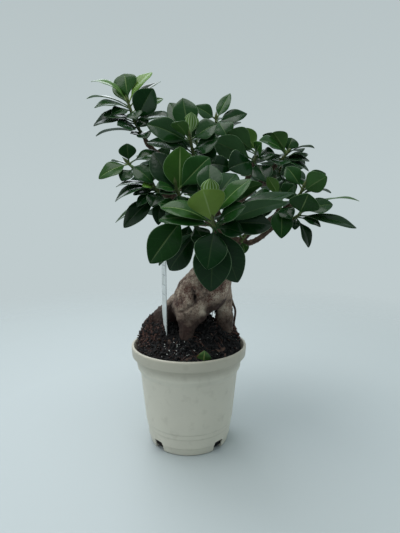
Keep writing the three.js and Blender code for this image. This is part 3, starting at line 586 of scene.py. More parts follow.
def grown(limbs, voxel, blend):
    """The surface where -k log(sum of exp(-distance/k)) is zero, with k the blend."""
    everything = np.concatenate([balls_along(points, 4) for points in limbs])
    reach = 3 * blend + 3 * voxel
    low = (everything[:, :3] - everything[:, 3:]).min(axis=0) - reach
    high = (everything[:, :3] + everything[:, 3:]).max(axis=0) + reach
    dims = tuple(np.ceil((high - low) / voxel).astype(int) + 1)
    total = np.zeros(dims, np.float32)
    for points in limbs:
        total += np.exp(-limb_field(points, low, voxel, dims, reach) / blend)
    grid = openvdb.FloatGrid()
    grid.copyFromArray(-blend * np.log(np.maximum(total, 1e-9)))
    places, triangles, quads = grid.convertToPolygons(isovalue=0.0, adaptivity=0.0)
    vertices = low + voxel * places.astype(float)
    return outward(vertices, quads.astype(int), triangles.astype(int).reshape(-1, 3))


def normals_of(shape):
    """Unit normals at the vertices: the sum of the cross products of the faces round each."""
    vertices, quads, triangles = shape
    corners = np.concatenate([quads[:, [0, 1, 2]], quads[:, [0, 2, 3]], triangles])
    a, b, c = (vertices[corners[:, k]] for k in range(3))
    face = np.cross(b - a, c - a)
    total = np.zeros_like(vertices)
    for k in range(3):
        np.add.at(total, corners[:, k], face)
    return unit(total + 1e-12)


def relaxed(shape, passes):
    """Moves each vertex half way to the middle of its neighbours, a few times over."""
    vertices, quads, triangles = shape
    edges = np.concatenate([quads[:, [k, (k + 1) % 4]] for k in range(4)])
    for _ in range(passes):
        total = np.zeros_like(vertices)
        count = np.zeros(len(vertices))
        for a, b in ((0, 1), (1, 0)):
            np.add.at(total, edges[:, a], vertices[edges[:, b]])
            np.add.at(count, edges[:, a], 1)
        vertices = (vertices + total / count[:, None]) / 2
    return vertices, quads, triangles


print("a limb's field is taken from stretches of", LIMB_STEP, "mm")

# %% [markdown]
# The limbs are those of the CAD model: each row is a point on a limb's middle line with the
# radius there. The marks are what makes this root itself: an old wound at the front, a crease
# where two lobes press together, rubbed rusty spots, and the earth's stain, which is partly
# painted shade under the arch and behind the label. The wound and the crease get painted shade
# in their hollows too. They could be painted on the mesh by hand. As places and heights they
# stay right when the mesh changes.

# %% The rootstock's limbs and marks
LEFT_LOBE = [
    (40, 6, 200, 10), (40, 6, 194, 11.2), (31, 5, 183, 15), (21, 4, 171, 19.5), (9, 0, 156, 21.5),
    (2, -5, 143, 18.5), (-1, -11, 130, 10.5), (-2, -16, 118, 6.8), (-2, -18, 104, 6.4), (-2, -19, 86, 5),
]
RIGHT_LOBE = [
    (33, 6, 186, 12), (28, 4, 172, 16), (24, 0, 160, 17.5), (21, -3, 152, 14), (19, -4, 146, 9),
]
RIGHT_LEG = [
    (30, 9, 168, 13), (35, 12, 150, 11), (37, 14, 134, 9.6), (38, 15, 118, 10), (38, 16, 104, 11),
    (38, 16, 88, 8),
]
LEFT_REAR_ROOT = [
    (8, 8, 156, 12), (-8, 12, 143, 12.5), (-21, 15, 130, 13), (-33, 18, 116, 13.5), (-38, 20, 102, 10),
    (-38, 20, 88, 7),
]
REAR_ROOT = [
    (18, 16, 152, 11), (9, 25, 136, 8.5), (2, 33, 118, 8.5), (-1, 37, 102, 8.5), (-2, 38, 86, 6),
]
AERIAL_ROOT = [
    (42, 10, 152, 1.6), (47, 14, 143, 1.3), (50, 18, 132, 1.2), (49.5, 21, 120, 1.2), (48, 23, 96, 1.1),
]
ROOTS = [LEFT_LOBE, RIGHT_LOBE, RIGHT_LEG, LEFT_REAR_ROOT, REAR_ROOT]
ROOT_VOXEL = 0.95
ROOT_BLEND = 1.6
# The knot and the crease are sunk into the wood, and their hollows get painted shade.
KNOT = (6, -21, 156)  # an old wound, dark and hollow
KNOT_DEPTH = 2.8
CREASE = [(6, 157), (8, 150), (2, 147), (-3, 143), (-9, 140)]  # x and z
RUST_SPOTS = [(2, 163, 9), (36, 165, 9), (20, 150, 7), (30, 176, 6)]  # x, z and spread
# The earth's stain starts at the first height and is full at the second. It reaches higher on
# the rear root at the left, where it is partly painted shade behind the label, and it is weaker
# on the right leg. On the underside of the arch the same darkening is painted shade, under the
# lobes. The pairs of x say over which stretch each of those three comes in.
STAIN = (147, 118)
LEFT_STAIN_AND_SHADE, LEFT_X = (154, 136), (-9, -15)
ARCH_SHADE, ARCH_SHADE_X = (158, 148), (6, 14)
LEG_CLEANER, LEG_X = 0.3, (26, 32)
print("rootstock limbs:", len(ROOTS))

# %% [markdown]
# Bark follows the wood as it swells: lumps about a centimetre wide, fine wrinkles across the
# lobes, pits, and a crust of earth near the soil. A bump map would show them only in the
# shading. Moving the vertices along their normals shows them in the outline too, and they stay
# in an exported mesh.

# %% Raise the bark on the rootstock


def line_gap(x, z, corners):
    """Distance in the front view from points to a line through corners given as (x, z)."""
    best = np.full(x.shape, 1e9)
    for (x0, z0), (x1, z1) in zip(corners, corners[1:]):
        way = np.array([x1 - x0, z1 - z0])
        t = np.clip(((x - x0) * way[0] + (z - z0) * way[1]) / (way @ way), 0, 1)
        best = np.minimum(best, np.hypot(x - x0 - t * way[0], z - z0 - t * way[1]))
    return best


def rootstock_shape():
    """The grown limbs, moved along their normals by lumps, wrinkles, the knot and the crease.
    Returns the shape and, for each vertex: how deep it is, for painted shade in hollows; how much
    earth stain and painted shade it has; and how rusty it is."""
    shape = relaxed(grown(ROOTS, ROOT_VOXEL, ROOT_BLEND), 3)
    vertices, quads, triangles = shape
    normals = normals_of(shape)
    x, y, z = vertices.T
    lumps = 1.1 * layered(vertices, 13, 3, seed=11)
    swirl = z + 2.5 * noise(vertices, 14, seed=17)
    wrinkles = 0.22 * np.sin(2 * np.pi * swirl / 2.9) * ramp(noise(vertices, 17, seed=19), -0.2, 0.6)
    pits = -0.7 * ramp(noise(vertices, 3.3, seed=23), 0.3, 0.8)
    front = ramp(-y, -2, 8)
    knot = np.exp(-(((x - KNOT[0]) / 4.2) ** 2 + ((z - KNOT[2]) / 6) ** 2)) * front
    knot = knot * (1 + 0.9 * noise(vertices, 1.9, seed=37))
    crease = np.exp(-(line_gap(x, z, CREASE) / 1.5) ** 2) * front
    hollow = KNOT_DEPTH * knot + 2.2 * crease
    earth_and_shade = ramp(z + 7 * noise(vertices, 8, seed=29), *STAIN)
    earth_and_shade = earth_and_shade * (1 - LEG_CLEANER * ramp(x, *LEG_X))
    # On the rear root at the left the stain is partly painted shade, behind the label.
    left_root = ramp(z + 5 * noise(vertices, 6, seed=47), *LEFT_STAIN_AND_SHADE) * ramp(x, *LEFT_X)
    # Painted shade: the undersides of the lobes over the arch are darkened as if in shadow.
    underside = ramp(-normals[:, 2], 0.1, 0.6) * ramp(z, *ARCH_SHADE) * ramp(x, *ARCH_SHADE_X)
    earth_and_shade = np.maximum(np.maximum(earth_and_shade, left_root), underside)
    above_ground = ramp(z - soil_height(x, y), -4, 3)
    crusty = earth_and_shade * 1.3 * np.abs(noise(vertices, 2.4, seed=31)) * above_ground
    moved = vertices + normals * (lumps + wrinkles + pits + crusty - hollow)[:, None]
    # Painted shade: hollows, pits and the dips between lumps are darkened in colour, as shade falls
    # there.
    deep = np.clip(hollow / 4.5 - pits * 0.7 + ramp(-lumps, 0.3, 1.6) * 0.3, 0, 1)
    rusty = sum(np.exp(-((x - sx) ** 2 + (z - sz) ** 2) / spread ** 2) for sx, sz, spread in RUST_SPOTS)
    return (moved, quads, triangles), {"deep": deep, "earth_and_shade": earth_and_shade, "rusty": rusty}


print("the knot is", KNOT_DEPTH, "mm deep, and the crease has", len(CREASE), "corners")

# %% [markdown]
# Fig bark on a root is thin and grey-brown. It is paler where the light and air reached it,
# rusty where it was rubbed, and near the soil it is stained almost black. Small pores, the
# lenticels, dot it in rows. A bark picture wrapped round the root would stretch on the lobes.
# So the colours come from noise at those sizes, and from the three numbers that are worked out
# when the bark is raised: how deep each place is, which darkens hollows with painted shade, how
# much earth stain and painted shade lie on it, and how rusty it is.

# %% The bark's material


def bark_material(name, base, rust, streak, feature):
    """Bark: mottled colours, rusty patches, lenticel dots, earth stain, and painted shade."""
    made, tree, surface = new_material(name, Roughness=0.82, IOR=1.45)
    place = add(tree, "TexCoord").outputs["Object"]
    deep = add(tree, "Attribute", attribute_name="deep").outputs["Fac"]
    earth_and_shade = add(tree, "Attribute", attribute_name="earth_and_shade").outputs["Fac"]
    broad = add(tree, "TexNoise", {"Vector": place, "Scale": every(feature * 2), "Detail": 9,
                                   "Roughness": 0.74})
    tint = add(tree, "ValToRGB", {"Fac": broad}, stops=base)
    patch = add(tree, "TexNoise", {"Vector": place, "Scale": every(feature * 1.8), "Detail": 9,
                                   "Roughness": 0.7, "Distortion": 0.8})
    rusty = add(tree, "Attribute", attribute_name="rusty").outputs["Fac"]
    patch_sum = add(tree, "Math", {0: rusty, 1: 0.22, 2: patch}, operation="MULTIPLY_ADD")
    rubbed = add(tree, "MapRange", {"Value": patch_sum, "From Min": 0.54,
                                    "From Max": 0.72, "To Max": 0.6})
    rusted = add(tree, "MixRGB", {"Fac": rubbed, "Color1": tint, "Color2": linear(rust)})
    grains = add(tree, "TexVoronoi", {"Vector": place, "Scale": every(feature * 0.28), "Randomness": 1})
    grain = add(tree, "MapRange", {"Value": grains, "From Min": 0.22,
                                   "From Max": 0.5, "To Min": 0.95, "To Max": 0})
    where = add(tree, "MapRange", {"Value": patch_sum, "From Min": 0.46, "From Max": 0.62})
    grain_here = add(tree, "Math", {0: grain, 1: where}, operation="MULTIPLY")
    grained = add(tree, "MixRGB", {"Fac": grain_here, "Color1": rusted, "Color2": linear("#55291f")})
    squeezed = add(tree, "Mapping", {"Vector": place, "Scale": (1, 1, 2.6)})
    pores = add(tree, "TexVoronoi", {"Vector": squeezed, "Scale": every(feature * 0.55),
                                     "Randomness": 0.9})
    pore = add(tree, "MapRange", {"Value": pores, "From Min": 0.12, "From Max": 0.24,
                                  "To Min": 0.55, "To Max": 0})
    dotted = add(tree, "MixRGB", {"Fac": pore, "Color1": grained, "Color2": linear(streak)})
    stain = add(tree, "TexNoise", {"Vector": place, "Scale": every(feature), "Detail": 5})
    earth_and_shade_sum = add(tree, "Math", {0: stain, 1: earth_and_shade})
    earth_and_shade_mask = add(tree, "MapRange", {"Value": earth_and_shade_sum, "From Min": 0.6,
                                     "From Max": 1.32, "To Max": 0.96})
    # The earth stain, with painted shade under the arch and behind the label.
    stained_and_shaded = add(tree, "MixRGB", {"Fac": earth_and_shade_mask, "Color1": dotted, "Color2": linear("#38251f")})
    # Painted shade: the deep places, hollows, pits and dips, are darkened.
    hollow_shaded = add(tree, "MixRGB", {"Fac": deep, "Color1": stained_and_shaded, "Color2": linear("#251b19")})
    tree.links.new(hollow_shaded.outputs["Color"], surface.inputs["Base Color"])
    fine = add(tree, "TexNoise", {"Vector": squeezed, "Scale": every(feature * 0.25),
                                  "Detail": 6, "Roughness": 0.65})
    bump_low = add(tree, "Bump", {"Height": pores, "Strength": 0.35, "Distance": 0.0006})
    bump = add(tree, "Bump", {"Height": fine, "Strength": 0.8, "Distance": 0.0009, "Normal": bump_low})
    tree.links.new(bump.outputs["Normal"], surface.inputs["Normal"])
    return made


root_bark = bark_material("fig root bark", [
    (0.38, "#51413a"), (0.5, "#a48f7e"), (0.61, "#dccbb6")], "#653f35", "#d2c5b2", 6)
twig_bark = bark_material("fig twig bark", [
    (0.3, "#44372e"), (0.5, "#685546"), (0.72, "#8d7764")], "#4f3a2c", "#a8937c", 2.4)
print("bark materials made")

# %% [markdown]
# The rootstock is put together from the grown limbs and one thin aerial root, which hangs down
# to the soil at the right. The lattice of the field is too coarse for a root of a millimetre,
# so that one is a tube of its own on a slightly crooked line. The marks are stored on the mesh
# as attributes, which the material reads.

# %% Make the rootstock
root_shape, root_marks = rootstock_shape()
air_line = curve(AERIAL_ROOT, np.linspace(0, 1, 60))
air_line[:, 0] += 0.5 * noise(air_line, 7, seed=41)
air_root = tube(air_line, radius_at(AERIAL_ROOT, np.linspace(0, 1, 60)), 14)
rootstock = make_piece("swollen_rootstock", merged([root_shape, air_root]), root_bark,
                       ["rootstock"])
for mark, values in root_marks.items():
    set_attribute(rootstock, mark, np.concatenate([values, np.full(len(air_root[0]), 0.3)]))

# %% [markdown]
# The soil goes round the root. Loose pieces on it are one small shape each, copied with a
# random turn, size and dent, and merged into one mesh for each kind. A particle system could
# scatter them, but its copies aren't meshes until they are made real. A piece that would lie
# inside a root or outside the pot is left out. The random numbers come from a seeded
# generator, so the soil is the same each time.

# %% Make the soil, and scatter pebbles on it
make_piece("potting_soil", soil_shape(), soil_mix, ["soil"])
root_balls = np.concatenate([balls_along(points, 4) for points in ROOTS])
CRUMB_DISC = 53.5  # loose pieces are drawn on a disc of this radius
POT_INSIDE = 56  # and none of them reaches past this one


def pebble(divisions):
    """Vertices and triangles of a round pebble of radius 1, from Blender's icosphere."""
    bm = bmesh.new()
    bmesh.ops.create_icosphere(bm, subdivisions=divisions, radius=1)
    vertices = np.array([vertex.co[:] for vertex in bm.verts])
    triangles = np.array([[vertex.index for vertex in face.verts] for face in bm.faces])
    bm.free()
    return vertices, triangles


def scattered(count, seed, sizes, stretch, divisions=1, rise=0.2, spot=None):
    """Copies of a pebble on the soil: v' = centre + size * turn (stretch * dent * v), with the
    centres even over the soil's disc or, with a spot (x, y, spread), round that place."""
    draw = np.random.default_rng(seed)
    base, triangles = pebble(divisions)
    radius = CRUMB_DISC * np.sqrt(draw.random(count))
    angle = 2 * np.pi * draw.random(count)
    x, y = radius * np.cos(angle), radius * np.sin(angle)
    if spot:
        x = spot[0] + spot[2] * draw.standard_normal(count)
        y = spot[1] + spot[2] * draw.standard_normal(count)
    size = sizes[0] + (sizes[1] - sizes[0]) * draw.random(count) ** 2
    centres = np.column_stack([x, y, soil_height(x, y) + 0.9 + rise * size])
    gaps = np.linalg.norm(centres[:, None] - root_balls[None, :, :3], axis=-1) - root_balls[:, 3]
    kept = (gaps.min(axis=1) > 0.3 * size) & (np.hypot(x, y) + size < POT_INSIDE)
    centres, size = centres[kept], size[kept]
    turns = draw.standard_normal((len(size), 4))
    a, b, c, d = unit(turns).T
    turn = np.stack([
        np.stack([a * a + b * b - c * c - d * d, 2 * (b * c - a * d), 2 * (b * d + a * c)], -1),
        np.stack([2 * (b * c + a * d), a * a - b * b + c * c - d * d, 2 * (c * d - a * b)], -1),
        np.stack([2 * (b * d - a * c), 2 * (c * d + a * b), a * a - b * b - c * c + d * d], -1),
    ], axis=1)
    dents = 1 + 0.28 * draw.uniform(-1, 1, (len(size), len(base), 1))
    local = base[None] * dents * np.array(stretch) * size[:, None, None]
    vertices = np.einsum("nij,nvj->nvi", turn, local) + centres[:, None]
    starts = np.arange(len(size))[:, None, None] * len(base)
    return vertices.reshape(-1, 3), np.zeros((0, 4), int), (triangles[None] + starts).reshape(-1, 3)


print("faces of a pebble:", len(pebble(1)[1]))

# %% [markdown]
# Coir is coconut fibre, and single bent threads of it lie across the soil. Each is a thin tube
# on a parabola. A curve object with a bevel would look the same, but the soil's height under
# the thread comes from a formula, so the points are worked out with it.

# %% Lay fibres on the soil
FIBRE_DISC = 50  # the middles of the fibres lie inside this radius
FIBRE_LIMIT = 54.5  # and their ends inside this one


def fibres(count, seed, length, radius):
    """Bent coir fibres on the soil: thin tubes on short curves."""
    draw = np.random.default_rng(seed)
    made = []
    for _ in range(count):
        angle, heading = draw.uniform(0, 2 * np.pi, 2)
        middle = FIBRE_DISC * math.sqrt(draw.random()) * np.array([math.cos(angle), math.sin(angle)])
        reach = draw.uniform(0.5, 1) * length / 2
        s = np.linspace(-1, 1, 7)
        x = middle[0] + reach * s * math.cos(heading) + draw.uniform(-2, 2) * (1 - s * s)
        y = middle[1] + reach * s * math.sin(heading) + draw.uniform(-2, 2) * (1 - s * s)
        inside = np.hypot(x, y).max() < FIBRE_LIMIT
        line = np.column_stack([x, y, soil_height(x, y) + 1.2 + draw.uniform(0, 2.2) * (1 - s * s)])
        gap = np.linalg.norm(line[:, None] - root_balls[None, :, :3], axis=-1) - root_balls[:, 3]
        if inside and gap.min() > 0:
            made.append(tube(line, np.full(7, radius), 5))
    return merged(made)


print("fibres stay within", FIBRE_LIMIT, "mm of the middle")

# %% [markdown]
# The counts and places follow the photograph: peat crumbs all over and more at the front left,
# rusty ones at the left and right, and perlite at the front. Each kind could have been many
# objects, but one mesh for each is lighter, and it takes one material.

# %% Make the loose pieces
make_piece("soil_crumbs", merged([
    scattered(2600, 1, (0.5, 1.9), (1, 1, 0.8)),
    scattered(260, 4, (0.6, 1.6), (1, 1, 0.8), spot=(-20, -10, 12)),
]), crumb_peat, smooth=False)
make_piece("rusty_soil_crumbs", merged([
    scattered(260, 2, (0.7, 2.4), (1, 1, 0.8), spot=(44, 20, 7)),
    scattered(760, 3, (0.5, 1.6), (1, 1, 0.8), spot=(-40, 12, 9)),
]), crumb_rusty, smooth=False)
make_piece("perlite_grains", merged([
    scattered(90, 5, (0.25, 0.6), (1, 0.9, 0.8), 2, rise=0.5),
    scattered(60, 6, (0.25, 0.95), (1, 0.9, 0.8), 2, rise=0.5, spot=(-13, -38, 11)),
]), perlite_white, smooth=False)
make_piece("bark_chips", scattered(50, 7, (1.2, 3.2), (1.5, 0.7, 0.3), 1, rise=0.3), chip_bark,
           smooth=False)
make_piece("coir_fibres", fibres(110, 8, 16, 0.2), crumb_rusty)

# %% [markdown]
# Where the root arches over the soil, thin rootlets hang from the underside of the wood into
# the shade, coated with dry soil, and their near-black colour is partly painted shade. Hair
# particles could draw them, but they don't stay in an exported mesh. Here each is a thin tube
# on a curve that starts inside the wood and hangs straight down with a slight sway.

# %% Make the rootlets that hang under the arch
ROOTLETS = 18
ROOTLET_TOP = 145
ROOTLET_FROM, ROOTLET_TO = (20, 0, 130), (28, 10, 136)  # x, y and the height of the lower end
# Painted shade: the rootlets' near-black coat partly stands for the shade under the arch.
rootlet_coat_and_shade = plain_grains("soil-coated rootlets with painted shade", "#0b0908", "#2b201c", 3, 0.88)


def rootlets(count, seed):
    """Thin roots that start inside the wood over the arch: straight down, with a sway s sin."""
    draw = np.random.default_rng(seed)
    s = np.linspace(0, 1, 8)
    made = []
    for _ in range(count):
        x, y, low = draw.uniform(ROOTLET_FROM, ROOTLET_TO)
        sway = s * np.sin(5 * s + draw.uniform(0, 6))
        line = np.column_stack([x + draw.uniform(-1.5, 1.5) * s + 0.6 * sway,
                                y + draw.uniform(-1.5, 1.5) * s - 0.6 * sway,
                                ROOTLET_TOP + (low - ROOTLET_TOP) * s])
        made.append(tube(line, 0.65 - 0.4 * s, 6))
    return merged(made)


make_piece("hanging_rootlets", rootlets(ROOTLETS, 12), rootlet_coat_and_shade)

# %% [markdown]
# The layout of the crown is the CAD model's: each leafy shoot has a stem of three points and
# a list of posed leaves, and a rule adds leaves where the photograph doesn't reach. A rule
# alone would be shorter, but then no leaf would stand where the photograph shows it. The
# finer leaves have to lie where the CAD leaves do, so the scene repeats the list and the rule.

# %% The crown's layout
GRAFT_CROWN = [(40, 6, 200.4, 10), (40, 6, 206, 10.4), (41, 6, 213, 8.5), (41, 6, 219, 4)]
TWIG_TIP = 1.9  # radius where a twig meets its green shoot
JOINT_GAP = 0.35  # between the two
TWIGS = [  # first radius, points from the thick end, and the shoot that the twig carries
    (4.2, [(38, 5, 212), (18, -2, 234), (-6, -10, 250)], "lower_left"),
    (2.6, [(-6, -10, 250), (-20, -12, 262)], "left"),
    (3.2, [(18, -2, 234), (0, 4, 262), (-20, 4, 288)], "top_left"),
    (3.8, [(40, 6, 214), (26, 4, 246), (14, -2, 270)], "upper"),
    (2.8, [(26, 4, 246), (26, 12, 280)], "upper_right"),
    (2.6, [(18, -2, 236), (6, -22, 247)], "centre"),
    (3.4, [(38, 0, 210), (34, -26, 210), (28, -50, 214)], "front"),
    (2.6, [(34, -26, 210), (24, -36, 214)], "front_left"),
    (3.2, [(44, 5, 209), (55, 3, 212), (66, 2, 221), (80, -2, 229), (92, -9, 240)], "right"),
    (3.0, [(46, 3, 207), (62, 0, 208), (73, -4, 214), (86, -11, 226)], "far_right"),
    (3.4, [(42, 8, 214), (52, 6, 250), (60, 3, 274)], "right_top"),
    (2.8, [(52, 6, 250), (72, 8, 268)], "right_back"),
    (3.4, [(42, 12, 210), (40, 40, 226)], "back_left"),
    (3.2, [(44, 12, 212), (60, 34, 232)], "back_right"),
    (2.4, [(26, 12, 276), (20, 34, 286)], "back_top"),
    (2.6, [(0, 4, 262), (-12, 26, 266)], "back_left_high"),
    (2.4, [(72, 8, 268), (86, 24, 270)], "back_right_high"),
    (2.6, [(40, 38, 226), (12, 58, 226)], "back_low"),
    (2.4, [(43, 2, 208)], "sprout"),
    (2.4, [(80, -2, 229)], "right_low"),
]
# Each shoot: name, stem points, posed leaves, and the count of leaves that the rule adds.
# A posed leaf is: share of the stem where it grows, way to its tip, width, lean, bow and, where
# it isn't the usual one, the share of its blade where it is broadest.
SHOOTS = [
    ("front", [(24.5, -65, 224), (22, -71, 234), (19, -73, 247)], [
        (0.16, -10, -24, 31, 32, -70, 0.06, 0.62), (1.00, 0, -3, 20, 16, -90, 0.02),
        (0.25, -40, -10, 22, 22, 40, 0.12), (0.55, 27, -6, 34, 20, 35, 0.06),
        (0.80, 43, 8, 22, 19, -50, 0.08), (0.20, 67, 8, 35, 21, 28, 0.06),
        (0.15, 56, -18, 24, 20, -40, 0.06), (0.15, 49, -8, 6, 26, 55, 0.08),
        (0.20, 21, -20, 19, 20, 50, 0.10), (0.12, -46, -8, 7, 19, 45, 0.14),
        (0.16, -6, -16, -34, 28, 80, 0.06, 0.48), (0.25, -2, 2, -58, 33, 80, 0.07, 0.5),
        (0.22, 24, 6, -51, 29, 75, 0.06, 0.5), (0.95, 0, 16, 35, 22, 80, 0.05),
        (0.90, 35, 24, 32, 22, 60, 0.06), (0.12, 24, -6, -5, 18, 50, 0.08),
    ], 2),
    ("front_left", [(13, -46, 222), (4, -49, 230), (-5, -51, 237)], [
        (0.90, -30, -8, -40, 30, 75, 0.06, 0.5), (0.20, -34, -14, -31, 15, -35, 0.06),
        (0.15, -28, 6, -42, 25, 70, 0.06), (1.00, -20, -6, 12, 18, 40, 0.10),
        (0.50, 12, -12, -18, 18, 60, 0.06), (0.30, -14, 4, -20, 16, 70, 0.06),
        (0.60, -6, 8, -20, 16, 80, 0.05), (0.90, -6, 6, 18, 18, 75, 0.06),
    ], 2),
    ("centre", [(-7, -40, 253), (-9, -45, 258), (-10, -49, 264)], [
        (0.15, 1, -2, 43, 30, 85, 0.03, 0.5), (0.60, 32, 6, 24, 25, 80, 0.05),
        (0.50, -16, -16, 4, 17, 40, 0.10), (0.15, 14, 2, 14, 20, 70, 0.05),
        (0.30, -14, -18, 1, 16, 35, 0.10), (0.15, -24, 12, 40, 24, 80, 0.05),
    ], 0),
    ("top_left", [(-43, 0, 311), (-52, -4, 327), (-58, -5, 345)], [
        (1.00, -33, -5, 19, 16, 28, 0.18), (1.00, -5, 8, 30, 23, 90, 0.04, 0.66),
        (1.00, 18, 12, 35, 15, 28, 0.10), (0.90, -16, 14, 27, 15, 60, 0.05),
        (0.90, 28, 14, 28, 15, 20, 0.08), (0.50, 18, -8, 29, 27, 75, 0.05, 0.52),
        (0.75, 29, 10, 16, 18, 42, 0.06), (0.90, -42, 4, 10, 16, 12, 0.10),
        (0.85, -30, -16, -2, 17, 35, 0.12), (0.80, -15, -16, -4, 15, 50, 0.08),
        (0.50, -38, -8, -4, 20, 45, 0.18), (0.60, -25, -16, 2, 19, 45, 0.08),
        (0.45, -28, 10, 6, 15, 5, 0.05), (0.32, -17, -22, 4, 19, 60, 0.06),
        (0.20, -44, -2, -2, 19, 8, 0.10), (0.45, 31, -10, 15, 19, 38, 0.12),
        (0.40, 33, 6, 8, 18, 15, 0.10), (0.08, -11, -8, 3, 11, 30, 0.10),
        (0.75, 6, -14, -9, 17, 70, 0.08), (0.55, 14, -8, -4, 16, 65, 0.10),
        (0.20, 7, -16, -7, 15, 60, 0.08),
    ], 0),
    ("upper", [(8, -13, 284), (5, -23, 295), (2, -28, 309)], [
        (1.00, -7, 8, 37, 24, 90, 0.03, 0.52), (0.95, -24, 18, 36, 17, 80, 0.05),
        (1.00, 1, -3, 21, 15, -90, 0.02), (0.90, 20, -8, 17, 24, 55, 0.06),
        (0.80, -38, -14, 15, 26, 60, 0.06), (0.90, -20, -18, 14, 15, -30, 0.10),
        (0.50, -28, -20, 14, 20, 55, 0.08), (0.60, 20, -16, 12, 27, 62, 0.08),
        (0.40, -44, 4, 14, 23, 35, 0.08), (0.85, -26, 8, 22, 18, 30, 0.08),
        (0.40, 2, -24, -10, 23, 60, 0.10), (0.50, 12, -24, -4, 24, 62, 0.08),
        (0.10, 34, 4, -6, 20, 65, 0.08),
    ], 2),
    ("upper_right", [(27, 14, 315), (28, 14, 326), (28, 14, 334)], [
        (1.00, -21, -4, 12, 18, 60, 0.06, 0.42), (1.00, 14, 8, 28, 14, 40, 0.03, 0.42),
        (0.80, 31, 2, 10, 17, 60, 0.06, 0.45), (0.10, 26, 8, 17, 11, 18, 0.04),
        (0.90, 10, -16, -18, 23, 65, 0.10),
    ], 3),
    ("right_top", [(65, 0, 288), (67, -2, 293), (69, -4, 298)], [
        (0.90, -29, -6, 20, 25, -60, 0.05, 0.6), (0.30, -41, -12, 17, 25, -60, 0.05),
        (1.00, -15, 4, 24, 18, -50, 0.06), (0.45, 16, -12, 4, 18, 50, 0.10),
        (0.20, -26, -22, -9, 29, 75, 0.10), (0.70, 2, -16, 10, 16, 60, 0.08),
        (0.15, 8, -18, -22, 22, 60, 0.08),
    ], 2),
    ("right_back", [(91, 8, 289), (97, 8, 295), (101, 8, 300)], [
        (0.95, -15, -6, 19, 20, -50, 0.08), (0.80, -30, -14, 12, 21, 45, 0.10),
        (0.90, 29, 6, 8, 15, 0, 0.12), (0.95, 6, 2, 15, 18, 60, 0.06),
        (0.50, 24, -4, 5, 19, 10, 0.08), (0.35, 28, -2, 0, 18, 30, 0.08),
        (0.25, 26, -12, -10, 20, 20, 0.08), (0.15, -4, -24, -6, 20, 45, 0.10),
        (0.90, -22, 8, 20, 17, -40, 0.08), (0.05, -14, -16, -16, 22, 60, 0.08),
        (0.40, -28, -10, -2, 18, 45, 0.10),
    ], 3),
    ("right", [(104, -21, 252), (107, -24, 257), (109, -26, 263)], [
        (0.70, 21, -6, 14, 24, -65, 0.05, 0.5), (0.90, 22, 6, 15, 19, -65, 0.05),
        (0.90, -14, 4, 21, 17, 70, 0.06), (0.30, 36, 10, 11, 15, 5, 0.10),
        (0.30, -22, 16, 10, 18, 60, 0.08),
        (0.15, -10, -4, 14, 16, 70, 0.05),
    ], 2),
    ("far_right", [(101, -23, 233), (105, -26, 236), (108, -28, 241)], [
        (0.90, 28, -4, 8, 19, 50, 0.08), (0.95, 61, 10, 13, 15, 0, 0.11),
        (0.60, 53, -6, -11, 16, 38, 0.06), (0.40, 22, -4, -8, 14, 30, 0.08),
        (0.30, 13, -2, -28, 15, 30, 0.12), (0.25, -4, -5, -11, 9, 60, 0.08),
        (0.70, 4, -16, 18, 29, 75, 0.06),
    ], 2),
    ("right_low", [(88, -18, 243), (89, -22, 248), (88, -26, 254)], [
        (0.50, -1, -12, -32, 21, 80, 0.06, 0.5), (0.90, -13, -4, 20, 12, -40, 0.06),
        (0.70, -26, -8, 4, 19, 45, 0.10), (0.80, 10, -14, 10, 18, 60, 0.08),
        (0.20, 8, -18, -8, 16, 65, 0.08), (0.20, -24, 0, -6, 16, 60, 0.08),
    ], 1),
    ("left", [(-37, -18, 266), (-47, -20, 276), (-57, -21, 286)], [
        (1.00, -1, -3, 17, 17, 85, 0.04), (0.97, -27, -8, -13, 20, 45, 0.06, 0.42),
        (0.95, 30, -2, 8, 19, 38, 0.12), (0.90, 22, -10, -17, 17, 60, 0.08, 0.45),
        (0.75, -10, -10, -11, 15, 60, 0.06),
    ], 2),
    ("lower_left", [(-24, -18, 257), (-29, -22, 260), (-33, -24, 265)], [
        (0.60, -38, -10, -10, 17, 32, 0.20), (0.80, -36, -4, -2, 16, 15, 0.12),
        (0.50, -19, -10, -14, 13, 40, 0.12), (0.95, -9, -10, 0, 10, 55, 0.08),
        (0.35, -34, -8, -33, 20, 60, 0.05), (0.30, -47, 12, -28, 13, 30, 0.02),
        (0.20, -5, -10, -29, 13, 40, 0.10), (0.30, -8, -18, -14, 17, 60, 0.08),
        (0.95, -8, -4, 20, 20, 70, 0.06), (0.55, -22, -6, -3, 12, 40, 0.10),
    ], 2),
    ("back_left", [(24, 62, 246), (16, 70, 254), (10, 76, 264)], [], 9),
    ("back_right", [(78, 56, 250), (86, 64, 258), (92, 68, 268)], [], 9),
    ("back_top", [(14, 50, 300), (10, 54, 308), (8, 56, 316)], [], 8),
    ("back_left_high", [(-26, 42, 274), (-32, 46, 280), (-36, 48, 288)], [], 8),
    ("back_right_high", [(92, 34, 276), (98, 40, 280), (100, 42, 286)], [], 8),
    ("back_low", [(-14, 66, 232), (-20, 70, 236), (-24, 72, 242)], [], 8),
    ("sprout", [(52, -2, 209), (54, -4, 211), (56, -5, 214)], [
        (0.50, 3, -5, -11, 11, 75, 0.04, 0.5), (1.00, -5, -6, 4, 7, 40, 0.08),
    ], 0),
]
print("shoots:", len(SHOOTS), "posed leaves:", sum(len(shoot[2]) for shoot in SHOOTS))

# %% [markdown]
# A leaf is a height over its own flat plane, with a along it and b across it. Its outline is
# a sine whose peak is moved towards the tip, as fig leaves are widest past their middle. A
# drawn outline would do for one leaf, but nearly two hundred differ in length and width.

